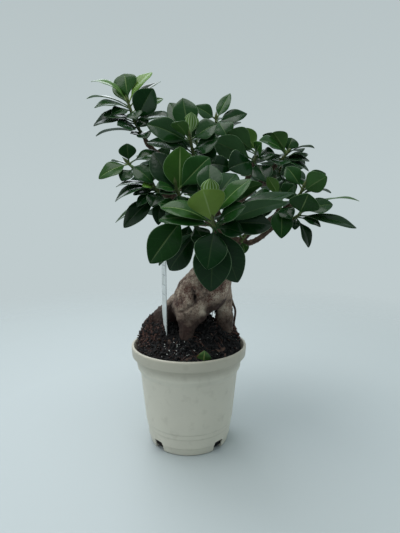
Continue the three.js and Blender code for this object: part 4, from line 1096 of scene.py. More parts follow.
# %% A leaf's plane, outline and height
PETIOLE = 5  # the longest stalk
PETIOLE_SHARE = 0.14  # of its length that a small leaf's stalk takes
PETIOLE_HALF = 0.8  # half the width of a stalk
BROADEST = 0.55  # share of the blade where it is usually widest
FOLD = 0.16  # rise to each side of the midrib for each millimetre across


def along(points, share):
    """Point and direction at a share of the length of a polyline."""
    known = np.asarray(points, float)
    ways = np.diff(known, axis=0)
    steps = np.linalg.norm(ways, axis=1)
    left = share * steps.sum()
    i = 0
    while i < len(steps) - 1 and left >= steps[i]:
        left -= steps[i]
        i += 1
    return known[i] + ways[i] * left / steps[i], ways[i] / steps[i]


def half_width(a, length, width, petiole, broadest):
    """Half the width at a: the stalk's, then w/2 sin(pi t^k)^(1 - t/4) over the blade, with the
    power k chosen so that the sine peaks where the leaf is broadest."""
    t = np.clip((a - petiole) / (length - petiole), 1e-9, 1)
    shifted = t ** (math.log(0.5) / np.log(broadest))
    blade = width / 2 * np.maximum(np.sin(np.pi * shifted), 0) ** (1 - 0.25 * t)
    return np.where(a < petiole, PETIOLE_HALF, np.maximum(blade, PETIOLE_HALF * (1 - t)))


def leaf_height(a, b, length, bow):
    """Height over the leaf's plane: a bow 4 h t(1-t) along it and a fold |b| at its midrib."""
    t = np.clip(a / length, 0, 1)
    return 4 * bow * length * t * (1 - t) + FOLD * np.abs(b)


def make_leaf(shoot, foot, axis, reach, width, lean, bow, broadest=BROADEST):
    """A leaf's plane (way, side, up), sizes, and a net of points of its middle surface."""
    length = np.linalg.norm(reach)
    way = reach / length
    turn = math.radians(lean or 0)
    wanted = axis * 0.6 + (0, 0, 0.4) if lean is None else np.array([0, -math.sin(turn), math.cos(turn)])
    up = unit(wanted - way * (wanted @ way))
    side = np.cross(way, up)
    petiole = min(PETIOLE, PETIOLE_SHARE * length)
    a = (length * np.arange(11) / 10)[:, None]
    b = half_width(a, length, width, petiole, broadest) * np.array([-1, -0.5, 0, 0.5, 1])
    rise = leaf_height(a, b, length, bow)
    net = foot + a[..., None] * way + b[..., None] * side + rise[..., None] * up
    return {"shoot": shoot, "foot": foot, "way": way, "side": side, "up": up, "length": length,
            "width": width, "bow": bow, "petiole": petiole, "broadest": broadest, "net": net,
            "middle": foot + way * length / 2, "reach": length / 2 + 4}


print("half width of a leaf at its middle:", round(float(half_width(25, 50, 24, 5, BROADEST)), 1), "mm")

# %% [markdown]
# Real leaves push each other aside, and never pass through one another. Two leaves clash when
# a net of points on one comes too near to the other's surface, or has points on both sides of
# it. Blender's tree for finding overlaps could test finished meshes, but the CAD model has to
# come to the same answers, so both use these plain formulas.

# %% When leaves clash
LEAF_CLEARANCE = 1.7  # between leaves of two shoots
OWN_CLEARANCE = 1.0  # between leaves of one shoot
OWN_START = 15  # nearer to the foot than this, leaves of one shoot aren't compared
WOOD_CLEARANCE = 0.9
EDGE = 1.5  # how far past its margin a leaf still keeps others away


def stacked(leaves, key):
    """One value of many leaves as an array that spreads over nets of points."""
    return np.array([leaf[key] for leaf in leaves])[:, None, None]


def nets_cross(nets, leaves, clearance, start):
    """Whether each net comes within the clearance of its leaf's surface or passes through it.
    Both lists are matched one to one, or the shorter one is spread over the longer."""
    foot, way, side, up = (np.array([leaf[k] for leaf in leaves])[:, None, None]
                           for k in ("foot", "way", "side", "up"))
    length, width, bow, petiole, broadest = (
        stacked(leaves, k) for k in ("length", "width", "bow", "petiole", "broadest"))
    apart = nets - foot
    a, b, h = (np.sum(apart * axis, axis=-1) for axis in (way, side, up))
    half = half_width(a, length, width, petiole, broadest)
    inside = (a > start) & (a < length + EDGE) & (np.abs(b) < half + EDGE)
    if start:
        inside &= np.linalg.norm(apart, axis=-1) > start
    gap = np.where(inside, h - leaf_height(a, b, length, bow), np.nan)
    near = np.any(np.abs(gap) < clearance)
    return near or np.any(gap[:, 1:] * gap[:, :-1] < 0) or np.any(gap[:, :, 1:] * gap[:, :, :-1] < 0)


def leaf_clashes(leaf, placed):
    """Whether a leaf clashes with one that is placed, with its own shoot's judged less strictly."""
    near = [other for other in placed
            if np.linalg.norm(leaf["middle"] - other["middle"]) <= leaf["reach"] + other["reach"]]
    for own in (False, True):
        others = [other for other in near if (other["shoot"] == leaf["shoot"]) == own]
        if not others:
            continue
        start, clearance, first = (OWN_START, OWN_CLEARANCE, 4) if own else (0, LEAF_CLEARANCE, 0)
        nets = np.array([other["net"][first:] for other in others])
        if nets_cross(leaf["net"][None, first:], others, clearance, start):
            return True
        if nets_cross(nets, [leaf], clearance, start):
            return True
    return False


def touches_wood(leaf, balls, owners):
    """Whether a leaf comes too near to a ball of a twig, a root or another shoot's stem."""
    others = balls[owners != leaf["shoot"]]
    apart = others[:, :3] - leaf["foot"]
    a, b, h = apart @ leaf["way"], apart @ leaf["side"], apart @ leaf["up"]
    margin = others[:, 3] + WOOD_CLEARANCE
    half = half_width(a, leaf["length"], leaf["width"], leaf["petiole"], leaf["broadest"])
    rise = leaf_height(a, b, leaf["length"], leaf["bow"])
    return np.any((a > 0) & (a < leaf["length"] + margin) & (np.abs(b) < half + margin)
                  & (np.abs(h - rise) < margin))


print("clearances:", LEAF_CLEARANCE, OWN_CLEARANCE, WOOD_CLEARANCE)

# %% [markdown]
# New leaves of a fig grow in turn round the stem, about 137.5 degrees from one to the next, so
# that none shades the one below. The rule adds leaves in that way. A leaf that would cross
# another is turned a little until it is clear, or made smaller, or left out. Pushing leaves
# apart by a simulation would look natural as well, but small changes would then move them all.

# %% Place the leaves
FOOT_OUT = 0.8  # how far from the middle of its stem a leaf starts
FOOT_BACK = 1  # and how far down the stem
GOLDEN_ANGLE = 137.5
RULE_LEAF = {"length": 42, "length_fall": 10, "width": 24, "width_fall": 5, "bow": 0.09}
SIZES = (1, 0.85, 0.7)  # tried in this order, each with every turn
COMPASS = [(0, 1), (0, -1), (1, 0), (-1, 0), (0.7, 0.7), (-0.7, 0.7), (0.7, -0.7), (-0.7, -0.7)]
TURNS = [(0, 0)] + [(p * step, q * step) for step in (0.1, 0.2, 0.32, 0.45) for p, q in COMPASS]


def wanted_leaves():
    """Every leaf that is wanted: the posed ones first, then the ones that the rule adds. On a
    posed shoot those point backwards, within 60 degrees of +Y, and elsewhere all round."""
    for shoot, stem, posed, _ in SHOOTS:
        for index, (share, x, y, z, *sizes) in enumerate(posed):
            yield shoot, index, share, *along(stem, share), np.array([x, y, z], float), *sizes
    for order, (shoot, stem, posed, count) in enumerate(SHOOTS):
        for j in range(count):
            share = (j + 0.5) / count
            point, axis = along(stem, 0.15 + 0.85 * share)
            turn = math.radians(GOLDEN_ANGLE * j + 57 * order)
            azimuth = math.radians(90 + 60 * math.sin(turn)) if posed else turn
            tilt = math.radians(-5 + 25 * share if posed else -14 + 74 * share)
            way = np.array([math.cos(tilt) * math.cos(azimuth), math.cos(tilt) * math.sin(azimuth),
                            math.sin(tilt)])
            length = RULE_LEAF["length"] - RULE_LEAF["length_fall"] * share
            width = RULE_LEAF["width"] - RULE_LEAF["width_fall"] * share
            lean = 0 if posed else None
            yield shoot, len(posed) + j, share, point, axis, way * length, width, lean, RULE_LEAF["bow"]


def place_leaves(balls, owners):
    """Each wanted leaf, turned a little or made smaller where it would cross what is there."""
    placed = []
    for shoot, index, share, point, axis, reach, width, lean, *bow in wanted_leaves():
        length = np.linalg.norm(reach)
        way = reach / length
        sideways = unit(np.cross(way, axis + 0.001))
        upwards = np.cross(sideways, way)
        outward_way = unit(reach + (0.01, 0.01, 0) - axis * (reach @ axis))
        foot = point + outward_way * FOOT_OUT - axis * FOOT_BACK
        for scale, (p, q) in itertools.product(SIZES, TURNS):
            turned_way = unit(way + sideways * p + upwards * q)
            leaf = make_leaf(shoot, foot, axis, turned_way * (length * scale), width * scale, lean, *bow)
            if not leaf_clashes(leaf, placed) and not touches_wood(leaf, balls, owners):
                leaf.update(index=index, share=share, posed=lean is not None)
                placed.append(leaf)
                break
    return placed


def stem_limb(points):
    """A green stem's points with its radius at each."""
    return [(*point, 1.7 - 0.5 * i / (len(points) - 1)) for i, point in enumerate(points)]


def twig_limb(radius, points, shoot_name):
    """A twig's points with radii, led straight into the foot of its shoot with a small gap."""
    stem = next(shoot[1] for shoot in SHOOTS if shoot[0] == shoot_name)
    foot, way = along(stem, 0)
    places = [*points, foot - way * 6, foot - way * JOINT_GAP]
    last = len(places) - 1
    return [(*place, radius + (TWIG_TIP - radius) * i / last) for i, place in enumerate(places)]


twig_limbs = [twig_limb(*twig) for twig in TWIGS]
wood = [("", points) for points in [*twig_limbs, *ROOTS, GRAFT_CROWN]]
wood += [(shoot[0], stem_limb(shoot[1])) for shoot in SHOOTS]
ball_rows = [balls_along(points) for _, points in wood]
owners = np.repeat([owner for owner, _ in wood], [len(row) for row in ball_rows])
leaves = place_leaves(np.concatenate(ball_rows), owners)
print("leaves placed:", len(leaves))

# %% [markdown]
# The twigs are woody and brown, and they fork from a callus that closed over the sawn top.
# A Skin modifier could draw them from edges. They are grown in a field like the root instead,
# so that the forks blend and the radii are those of the CAD twigs. Each old leaf left a scar
# right round the twig: a low ring every few millimetres, raised along the normals.

# %% Make the twigs
TWIG_VOXEL = 0.6
TWIG_BLEND = 0.9
SCAR_SPACING = 6.5
SCAR_HEIGHT = 0.38
SCAR_WIDTH = 0.55


def scar_rings(limbs):
    """Centres, directions and radii of the rings, evenly spaced along each limb's curve."""
    rows = []
    for points in limbs:
        length = curve_length(points)
        shares = np.arange(SCAR_SPACING / 2, length, SCAR_SPACING) / length
        line = curve(points, shares)
        ways = unit(curve(points, shares + 0.01) - curve(points, shares - 0.01))
        rows.append(np.column_stack([line, ways, radius_at(points, shares)]))
    return np.concatenate(rows)


def twigs_shape():
    """The grown twigs and crown, moved along their normals by scars, grain and callus lumps."""
    vertices, quads, triangles = relaxed(grown([GRAFT_CROWN, *twig_limbs], TWIG_VOXEL, TWIG_BLEND), 2)
    normals = normals_of((vertices, quads, triangles))
    raised = 0.22 * layered(vertices, 3.5, 3, seed=51)
    callus = np.exp(-(np.linalg.norm(vertices - (40, 6, 204), axis=1) / 13) ** 2)
    raised += callus * 1.1 * layered(vertices, 6, 3, seed=53)
    for x, y, z, dx, dy, dz, radius in scar_rings(twig_limbs):
        apart = vertices - (x, y, z)
        near = np.linalg.norm(apart, axis=1) < radius + 1.6
        along_twig = apart[near] @ (dx, dy, dz)
        raised[near] += SCAR_HEIGHT * np.exp(-(along_twig / SCAR_WIDTH) ** 2)
    return (vertices + normals * raised[:, None], quads, triangles), raised


twig_shape, twig_raised = twigs_shape()
twigs = make_piece("woody_twigs", twig_shape, twig_bark, ["twigs"])
# Painted shade: the twig's dips between scars and lumps are darkened.
set_attribute(twigs, "deep", np.clip(0.25 - twig_raised, 0, 0.6))
for mark in ("earth_and_shade", "rusty"):
    set_attribute(twigs, mark, np.zeros(len(twig_raised)))

# %% [markdown]
# A fig leaf is leathery and glossy above, and matt and paler beneath. Its midrib is a fine
# groove above and a ridge beneath, and its margin is a thin pale line. New leaves at the tips
# of the shoots are a light yellow-green, and they darken with age. A picture of one leaf would
# repeat itself on all of them. Here a UV map of share along and share across carries the veins
# and the margin, so they stay sharp and bend with each leaf. The shine is set low, because a
# leaf's wax is thin, and more of it would veil the dark green with the sky's reflection.

# %% The leaf's material


def leaf_material():
    """Leaf colours from age, tone and face, with midrib, side veins and margin from the UV map."""
    made, tree, surface = new_material("leathery fig leaf", IOR=1.45, Specular_IOR_Level=0.19)
    place = add(tree, "TexCoord").outputs["Object"]
    look = add(tree, "Attribute", attribute_name="look")
    parts = add(tree, "SeparateColor", {"Color": look}).outputs
    age, tone, under = parts["Red"], parts["Green"], parts["Blue"]
    striped = look.outputs["Alpha"]
    spot = add(tree, "SeparateXYZ", {"Vector": add(tree, "UVMap", uv_map="leaf").outputs["UV"]}).outputs
    centred = add(tree, "Math", {0: spot["Y"], 1: 2.0, 2: -1.0}, operation="MULTIPLY_ADD")
    across = add(tree, "Math", {0: centred}, operation="ABSOLUTE").outputs["Value"]
    above = add(tree, "ValToRGB", {"Fac": age}, stops=[
        (0.0, "#09270f"), (0.35, "#1f4519"), (0.7, "#446b22"), (1.0, "#6e8d32")])
    beneath = add(tree, "ValToRGB", {"Fac": age}, stops=[
        (0.0, "#2f4c34"), (0.4, "#436a35"), (0.75, "#628736"), (1.0, "#86a54c")])
    face = add(tree, "MixRGB", {"Fac": under, "Color1": above, "Color2": beneath})
    mottle = add(tree, "TexNoise", {"Vector": place, "Scale": every(14), "Detail": 4})
    shade = add(tree, "Math", {0: mottle, 1: tone})
    value = add(tree, "MapRange", {"Value": shade, "From Min": 0.3, "From Max": 1.7,
                                   "To Min": 0.72, "To Max": 1.28})
    toned = add(tree, "HueSaturation", {"Value": value, "Color": face})
    slant = add(tree, "Math", {0: across, 1: -1.7, 2: 0.0}, operation="MULTIPLY_ADD")
    phase = add(tree, "Math", {0: spot["X"], 1: 9.0, 2: slant}, operation="MULTIPLY_ADD")
    wave = add(tree, "Math", {0: phase, 1: 1.0}, operation="PINGPONG")
    vein = add(tree, "MapRange", {"Value": wave, "From Min": 0.0, "From Max": 0.12,
                                  "To Min": 0.05, "To Max": 0.0})
    veined = add(tree, "MixRGB", {"Fac": vein, "Color1": toned, "Color2": linear("#5f8250")})
    midrib = add(tree, "MapRange", {"Value": across, "From Min": 0.02, "From Max": 0.06,
                                    "To Min": 1.0, "To Max": 0.0})
    clear = add(tree, "MapRange", {"Value": age, "From Min": 0.1, "From Max": 0.6,
                                   "To Min": 0.06, "To Max": 0.75})
    rib = add(tree, "Math", {0: midrib, 1: clear}, operation="MULTIPLY")
    ribbed = add(tree, "MixRGB", {"Fac": rib, "Color1": veined, "Color2": linear("#93ab6c")})
    margin = add(tree, "MapRange", {"Value": across, "From Min": 0.955, "From Max": 0.99,
                                    "To Min": 0.0, "To Max": 0.6})
    rimmed = add(tree, "MixRGB", {"Fac": margin, "Color1": ribbed, "Color2": linear("#7f9b74")})
    stripe_wave = add(tree, "Math", {0: centred, 1: 19.0}, operation="MULTIPLY")
    stripe_sine = add(tree, "Math", {0: stripe_wave}, operation="COSINE")
    stripe = add(tree, "MapRange", {"Value": stripe_sine, "From Min": 0.1,
                                    "From Max": 0.9, "To Max": 0.8})
    stripe_here = add(tree, "Math", {0: stripe, 1: striped}, operation="MULTIPLY")
    striped_leaf = add(tree, "MixRGB", {"Fac": stripe_here,
                                        "Color1": rimmed,
                                        "Color2": linear("#b6cfa4")})
    stalk = add(tree, "MapRange", {"Value": spot["X"], "From Min": -0.02, "From Max": 0.03,
                                   "To Min": 1.0, "To Max": 0.0})
    stalk_tint = add(tree, "ValToRGB", {"Fac": age}, stops=[(0.1, "#3c5a34"), (0.7, "#9db371")])
    stalked = add(tree, "MixRGB", {"Fac": stalk, "Color1": striped_leaf, "Color2": stalk_tint})
    stem = add(tree, "MapRange", {"Value": spot["X"], "From Min": -1.2, "From Max": -0.8,
                                  "To Min": 1.0, "To Max": 0.0})
    stemmed = add(tree, "MixRGB", {"Fac": stem, "Color1": stalked, "Color2": linear("#57633a")})
    tree.links.new(stemmed.outputs["Color"], surface.inputs["Base Color"])
    smear = add(tree, "TexNoise", {"Vector": place, "Scale": every(6), "Detail": 5})
    matt = add(tree, "Math", {0: under, 1: 0.2, 2: 0.12}, operation="MULTIPLY_ADD")
    rough = add(tree, "Math", {0: smear, 1: 0.2, 2: matt}, operation="MULTIPLY_ADD")
    tree.links.new(rough.outputs["Value"], surface.inputs["Roughness"])
    low = add(tree, "Math", {0: vein, 1: midrib}, operation="ADD")
    bump_low = add(tree, "Bump", {"Height": low, "Strength": 0.35, "Distance": 0.0004}, invert=True)
    leather = add(tree, "TexNoise", {"Vector": place, "Scale": every(3), "Detail": 3})
    bump = add(tree, "Bump", {"Height": leather, "Strength": 0.16, "Distance": 0.0008,
                              "Normal": bump_low})
    tree.links.new(bump.outputs["Normal"], surface.inputs["Normal"])
    return made


fig_leaf = leaf_material()
print("material:", fig_leaf.name)

# %% [markdown]
# Each leaf is one closed shape: rows of points run round its cross-section, along the upper
# face from margin to margin and back along the underside. On the stalk that section is
# round, and it flattens where the blade begins. A flat sheet with a Solidify modifier would be
# an even slab, while a real blade thins towards its margin and swells at the midrib. The
# columns crowd together at the midrib and the margins, where the surface turns most.

# %% Shape a leaf
COLUMNS = 13
STALK_ROWS = 4
BLADE_ROWS = 20
BLADE_THICKNESS = 0.5
STALK_RADIUS = 0.65
GROOVE = 0.16  # depth of the midrib above
RIDGE = 0.5  # and its height beneath, at the foot of the blade
CROWDING = 0.13  # how strongly the columns crowd
TWIST = 4  # degrees, to either side
MARGIN_DROP = 0.3
RIPPLE = 0.4
DROOP = (0.2, 1.3)  # how far the tip sinks, at least and at most
CUPPING = 0.75  # how strongly a leaf that is still rolled curls up


def leaf_shape(leaf, age, striped, draw):
    """The leaf as rings: a height over its plane plus or minus half its thickness, with a groove
    -exp(-b^2), a ridge beneath, a twist b tan(u) t, a ripple s^2 sin, and a drooping tip."""
    length, petiole = leaf["length"], leaf["petiole"]
    x = np.linspace(-1, 1, COLUMNS)
    s = x - CROWDING * np.sin(2 * np.pi * x)
    blade = (1 - np.cos(np.pi * np.arange(BLADE_ROWS) / BLADE_ROWS)) / 2
    a = np.concatenate([petiole * np.arange(STALK_ROWS) / STALK_ROWS,
                        petiole + (length - petiole) * blade])[:, None]
    u = (a - petiole) / (length - petiole)
    t = np.clip(u, 0, 1)
    half = half_width(a, length, leaf["width"], petiole, leaf["broadest"])
    b = half * s
    flat = ramp(a, petiole - 1, petiole + 3)
    whole = np.clip(a / length, 0, 1)
    rise = 4 * leaf["bow"] * length * whole * (1 - whole) + FOLD * (np.sqrt(b * b + 0.36) - 0.6)
    twist = math.tan(math.radians(draw.uniform(-TWIST, TWIST)))
    rise = rise - MARGIN_DROP * flat * s ** 6 + b * twist * t
    rise = rise + RIPPLE * flat * s * s * np.sin(11 * t + draw.uniform(0, 6) + 0.8 * np.sign(s))
    rise = rise - draw.uniform(*DROOP) * t ** 4 + striped * CUPPING * half * s * s
    thick = flat * BLADE_THICKNESS / 2 * (1 - 0.6 * s ** 8)
    thick = thick + (1 - flat) * (STALK_RADIUS * np.sqrt(np.maximum(1 - s * s, 0)) + 0.04)
    top = rise + thick - flat * GROOVE * np.exp(-(b / 0.5) ** 2)
    bottom = rise - thick - flat * RIDGE * (1 - 0.75 * t) * np.exp(-(b / 0.75) ** 2)
    a_ring = a + 0 * np.concatenate([s, s])
    b_ring = np.concatenate([b, b[:, ::-1]], axis=1)
    h_ring = np.concatenate([top, bottom[:, ::-1]], axis=1)
    rings = (leaf["foot"] + a_ring[..., None] * leaf["way"] + b_ring[..., None] * leaf["side"]
             + h_ring[..., None] * leaf["up"])
    tip = leaf["foot"] + leaf["way"] * length + leaf["up"] * rise[-1, COLUMNS // 2]
    shape = ringed(rings, leaf["foot"] - leaf["way"] * 0.2, tip)
    uv = np.stack([u + 0 * b_ring, (np.concatenate([s, s[::-1]]) + 1) / 2 + 0 * b_ring], axis=-1)
    uv = np.concatenate([uv.reshape(-1, 2), [(-0.3, 0.5), (1, 0.5)]])
    under = np.concatenate([np.zeros(COLUMNS), np.ones(COLUMNS)]) + 0 * b_ring
    look = np.zeros((len(uv), 4))
    look[:, 0] = age
    look[:, 1] = draw.random()
    look[:-2, 2] = under.ravel()
    look[:, 3] = striped
    return shape, uv, look


print("points in a leaf:", 2 * COLUMNS * (STALK_ROWS + BLADE_ROWS) + 2)

# %% [markdown]
# A shoot is a green stem with its leaves. The stem swells a little where each leaf grows out,
# and it ends in a pointed bud. Its youngest leaves are listed below with an age from 0, old
# and dark, to 1, just opened. Two of them are still rolled and show pale stripes. The leaves
# could be objects of their own, but a shoot is one solid in the CAD model, so it is one mesh.

# %% Make the shoots
BUD_LENGTH = 7
FRESH = {  # ages of the younger leaves of a shoot, by their place in its list
    "front": {0: 0.95, 1: 0.8, 2: 0.4, 3: 0.4, 4: 0.38, 5: 0.1, 6: 0.15, 8: 0.12, 9: 0.25, 13: 0.15,
              14: 0.15},
    "top_left": {0: 0.62, 1: 0.38, 2: 0.8, 3: 0.5, 4: 0.3, 5: 0.06, 6: 0.6, 7: 0.3, 8: 0.2},
    "upper": {0: 0.2, 1: 0.2, 2: 0.7, 5: 0.45},
    "upper_right": {0: 0.25, 1: 0.35, 2: 0.12},
    "centre": {0: 0.5, 1: 0.3, 2: 0.2},
    "right_top": {0: 0.28, 1: 0.2, 2: 0.6, 5: 0.4},
    "right_back": {0: 0.45, 1: 0.3, 8: 0.12},
    "right": {0: 0.4, 1: 0.3, 2: 0.3},
    "far_right": {1: 0.5, 6: 0.35},
    "right_low": {0: 0.22, 1: 0.6},
    "left": {0: 0.15, 1: 0.42},
    "lower_left": {3: 0.75, 5: 0.4, 8: 0.2},
    "sprout": {0: 0.4, 1: 0.6},
}
ROLLED = {("front", 1), ("upper", 2)}


def age_of(leaf):
    """The listed age, or a small one that grows with the place up the stem: 0.04 + 0.22 share^3."""
    listed = FRESH.get(leaf["shoot"], {}).get(leaf["index"])
    if listed is not None and leaf["posed"]:
        return listed
    return 0.04 + 0.22 * leaf["share"] ** 3


def stem_shape(points, shares):
    """A stem with swellings exp(-d^2) at its leaves, and a bud whose radius runs to a point."""
    limb_points = stem_limb(points)
    along_shares = np.linspace(0, 1, 40)
    line = curve(limb_points, along_shares)
    tip_way = unit(line[-1] - line[-2])
    bud = np.linspace(0, 1, 12)[1:, None]
    centres = np.concatenate([line, line[-1] + tip_way * BUD_LENGTH * bud])
    length = curve_length(limb_points)
    gap = (along_shares[:, None] - np.array(shares)[None, :]) * length
    swelling = 0.3 * np.exp(-(gap / 0.9) ** 2).max(axis=1)
    bud_radius = 1.2 * (1 + 0.5 * np.sin(np.pi * bud[:, 0] ** 0.7)) * (1 - bud[:, 0] ** 1.6) + 0.06
    radii = np.concatenate([radius_at(limb_points, along_shares) + swelling, bud_radius])
    return tube(centres, radii, 12)


def make_shoot(name, points):
    """One mesh of a stem and its leaves, with their places and looks."""
    own = [leaf for leaf in leaves if leaf["shoot"] == name]
    draw = np.random.default_rng(sum(ord(letter) * k for k, letter in enumerate(name, 1)))
    stem = stem_shape(points, [leaf["share"] for leaf in own] or [0.5])
    shapes, uvs, looks = [stem], [np.full((len(stem[0]), 2), (-2.0, 0.5))], [
        np.tile((0.5, 0.5, 0.0, 0.0), (len(stem[0]), 1))]
    for leaf in own:
        rolled = float((name, leaf["index"]) in ROLLED and leaf["posed"])
        shape, uv, look = leaf_shape(leaf, age_of(leaf), rolled, draw)
        shapes.append(shape)
        uvs.append(uv)
        looks.append(look)
    piece = make_piece("leafy_shoot_" + name, merged(shapes), fig_leaf, ["shoot_" + name])
    set_uv(piece, "leaf", np.concatenate(uvs))
    set_attribute(piece, "look", np.concatenate(looks))


for shoot_name, stem_points, _, _ in SHOOTS:
    make_shoot(shoot_name, stem_points)

# %% [markdown]
# The plant label is a thin stake of white plastic, pushed in beside the root. One side of
# its foot is cut to a point. It is bare here but for a few plain ruled lines. A stretched cube
# would have hard edges and no point. An outline with rounded corners, laid down as four rings,
# has the cut foot and a slightly softened edge all round.

# %% Make the plant label
LABEL_FOOT = (-25, -7, 106)
LABEL_HEIGHT = 92
LABEL_WIDTH = 13
LABEL_THICKNESS = 0.8
LABEL_POINT = 30  # height at which the cut of the foot begins
LABEL_TURN = -67
LABEL_CORNER = 1.5
LABEL_SOFT = 0.2  # how much smaller the outline is on the two faces

label_plastic, tree, surface = new_material("white label plastic", Roughness=0.4, IOR=1.49)
spot = add(tree, "SeparateXYZ", {"Vector": add(tree, "UVMap", uv_map="label").outputs["UV"]}).outputs
lines = add(tree, "Math", {0: spot["Y"], 1: 5.0}, operation="PINGPONG")
line_mask = add(tree, "MapRange", {"Value": lines, "From Min": 0.5, "From Max": 0.7,
                                   "To Min": 0.5, "To Max": 0.0})
top = add(tree, "MapRange", {"Value": spot["Y"], "From Min": 44.0, "From Max": 45.0})
inset = add(tree, "Math", {0: spot["X"]}, operation="ABSOLUTE")
inner = add(tree, "MapRange", {"Value": inset, "From Min": 4.6, "From Max": 4.9,
                               "To Min": 1.0, "To Max": 0.0})
ruled = add(tree, "Math", {0: line_mask, 1: top}, operation="MULTIPLY")
ruled_in = add(tree, "Math", {0: ruled, 1: inner}, operation="MULTIPLY")
place = add(tree, "TexCoord").outputs["Object"]
dust = add(tree, "TexNoise", {"Vector": place, "Scale": every(8), "Detail": 5})
paper = add(tree, "ValToRGB", {"Fac": dust}, stops=[(0.4, "#dfe4e3"), (0.75, "#c2c7c3")])
printed = add(tree, "MixRGB", {"Fac": ruled_in, "Color1": paper, "Color2": linear("#8e9596")})
tree.links.new(printed.outputs["Color"], surface.inputs["Base Color"])

label_outline = rounded([
    (LABEL_WIDTH / 2 - 2, 0), (LABEL_WIDTH / 2, 0), (LABEL_WIDTH / 2, LABEL_HEIGHT),
    (-LABEL_WIDTH / 2, LABEL_HEIGHT), (-LABEL_WIDTH / 2, LABEL_POINT)], LABEL_CORNER, 5)
label_middle = label_outline.mean(axis=0)
label_rings, label_uv = [], []
away = label_outline - label_middle
for depth, shrink in ((-1, LABEL_SOFT), (-0.7, 0), (0.7, 0), (1, LABEL_SOFT)):
    flat_ring = label_middle + away * (1 - shrink / np.linalg.norm(away, axis=1, keepdims=True))
    level = np.full(len(flat_ring), depth * LABEL_THICKNESS / 2)
    label_rings.append(np.column_stack([flat_ring[:, 0], level, flat_ring[:, 1]]))
    label_uv.append(flat_ring)
turn = math.radians(LABEL_TURN)
turner = np.array([[math.cos(turn), math.sin(turn), 0], [-math.sin(turn), math.cos(turn), 0], [0, 0, 1]])
label_rings = np.array(label_rings) @ turner + LABEL_FOOT
label_shape = ringed(label_rings, label_rings[0].mean(axis=0), label_rings[-1].mean(axis=0))
label = make_piece("plant_label_stake", label_shape, label_plastic, ["plant_label"],
                   smooth=False)
set_uv(label, "label", np.concatenate(label_uv + [[label_uv[0].mean(axis=0)] * 2]))

# %% [markdown]
# A shed leaf stands in the soil just inside the rim at the front, its point upward. It is
# still green, and its margin begins to dry. It could be a copy of a leaf on a shoot, but it is
# short and broad low down, so the same shape function makes it from sizes of its own.

# %% Make the shed leaf
SHED_FOOT = (15, -47)
SHED_TIP = (16, -50)
SHED_RISE = 12  # height of its tip over the soil
SHED_WIDTH = 14
SHED_LIFT = 0.9  # height of its foot over the soil
SHED_LEAN = 60
SHED_BOW = 0.04
SHED_BROADEST = 0.35
SHED_AGE = 0.5


def shed_material():
    """A leaf that is drying: green, yellower in blotches, with brown that starts at its margin."""
    made, tree, surface = new_material("drying fig leaf", Roughness=0.5, IOR=1.45)
    place = add(tree, "TexCoord").outputs["Object"]
    spot = add(tree, "SeparateXYZ", {"Vector": add(tree, "UVMap", uv_map="leaf").outputs["UV"]}).outputs
    centred = add(tree, "Math", {0: spot["Y"], 1: 2.0, 2: -1.0}, operation="MULTIPLY_ADD")
    across = add(tree, "Math", {0: centred}, operation="ABSOLUTE").outputs["Value"]
    blotch = add(tree, "TexNoise", {"Vector": place, "Scale": every(4), "Detail": 5})
    green = add(tree, "ValToRGB", {"Fac": blotch}, stops=[
        (0.35, "#2c4f22"), (0.6, "#456b2c"), (0.78, "#6c7236")])
    reach = add(tree, "Math", {0: across, 1: 0.35, 2: blotch}, operation="MULTIPLY_ADD")
    dry = add(tree, "MapRange", {"Value": reach, "From Min": 0.82, "From Max": 0.95})
    dried = add(tree, "MixRGB", {"Fac": dry, "Color1": green, "Color2": linear("#6b4a2a")})
    rib = add(tree, "MapRange", {"Value": across, "From Min": 0.05, "From Max": 0.12,
                                 "To Min": 0.6, "To Max": 0.0})
    ribbed = add(tree, "MixRGB", {"Fac": rib, "Color1": dried, "Color2": linear("#9aa266")})
    tree.links.new(ribbed.outputs["Color"], surface.inputs["Base Color"])
    return made


def above_soil(x, y, rise):
    """A point above the soil."""
    return np.array([x, y, float(soil_height(x, y)) + rise])


shed_foot = above_soil(*SHED_FOOT, SHED_LIFT)
shed = make_leaf("shed", shed_foot, np.array([0, 0, 1.0]),
                 above_soil(*SHED_TIP, SHED_RISE) - shed_foot, SHED_WIDTH, SHED_LEAN, SHED_BOW,
                 SHED_BROADEST)
shed_shape, shed_uv, _ = leaf_shape(shed, SHED_AGE, 0.0, np.random.default_rng(9))
shed_piece = make_piece("shed_leaf", shed_shape, shed_material(), ["fallen_leaf"])
set_uv(shed_piece, "leaf", shed_uv)

# %% [markdown]
# The stage is a plain pale floor that fades into a pale surround, so that there is no hard
# horizon. The surround is pale behind the plant, a little brighter overhead, and greyer on
# the camera's side, since glossy leaves mirror it. Three soft panels add the daylight: one
# overhead, one behind at the left and a weak one from the left. Fully even light would be
# simpler, but the leaves would then lose their sheens and the pot its roundness.

# %% Floor, surround and lights
FLOOR_RADII = (200, 600, 1500)
FLOOR_SIDES = 96
FLOOR_DROP = 0.4  # it lies just below the pot
SURROUND = "#bfcbcd"  # behind the plant
SURROUND_NEAR = "#747c7f"  # on the camera's side
SKY_GLOW = 1.4  # how much brighter it is overhead

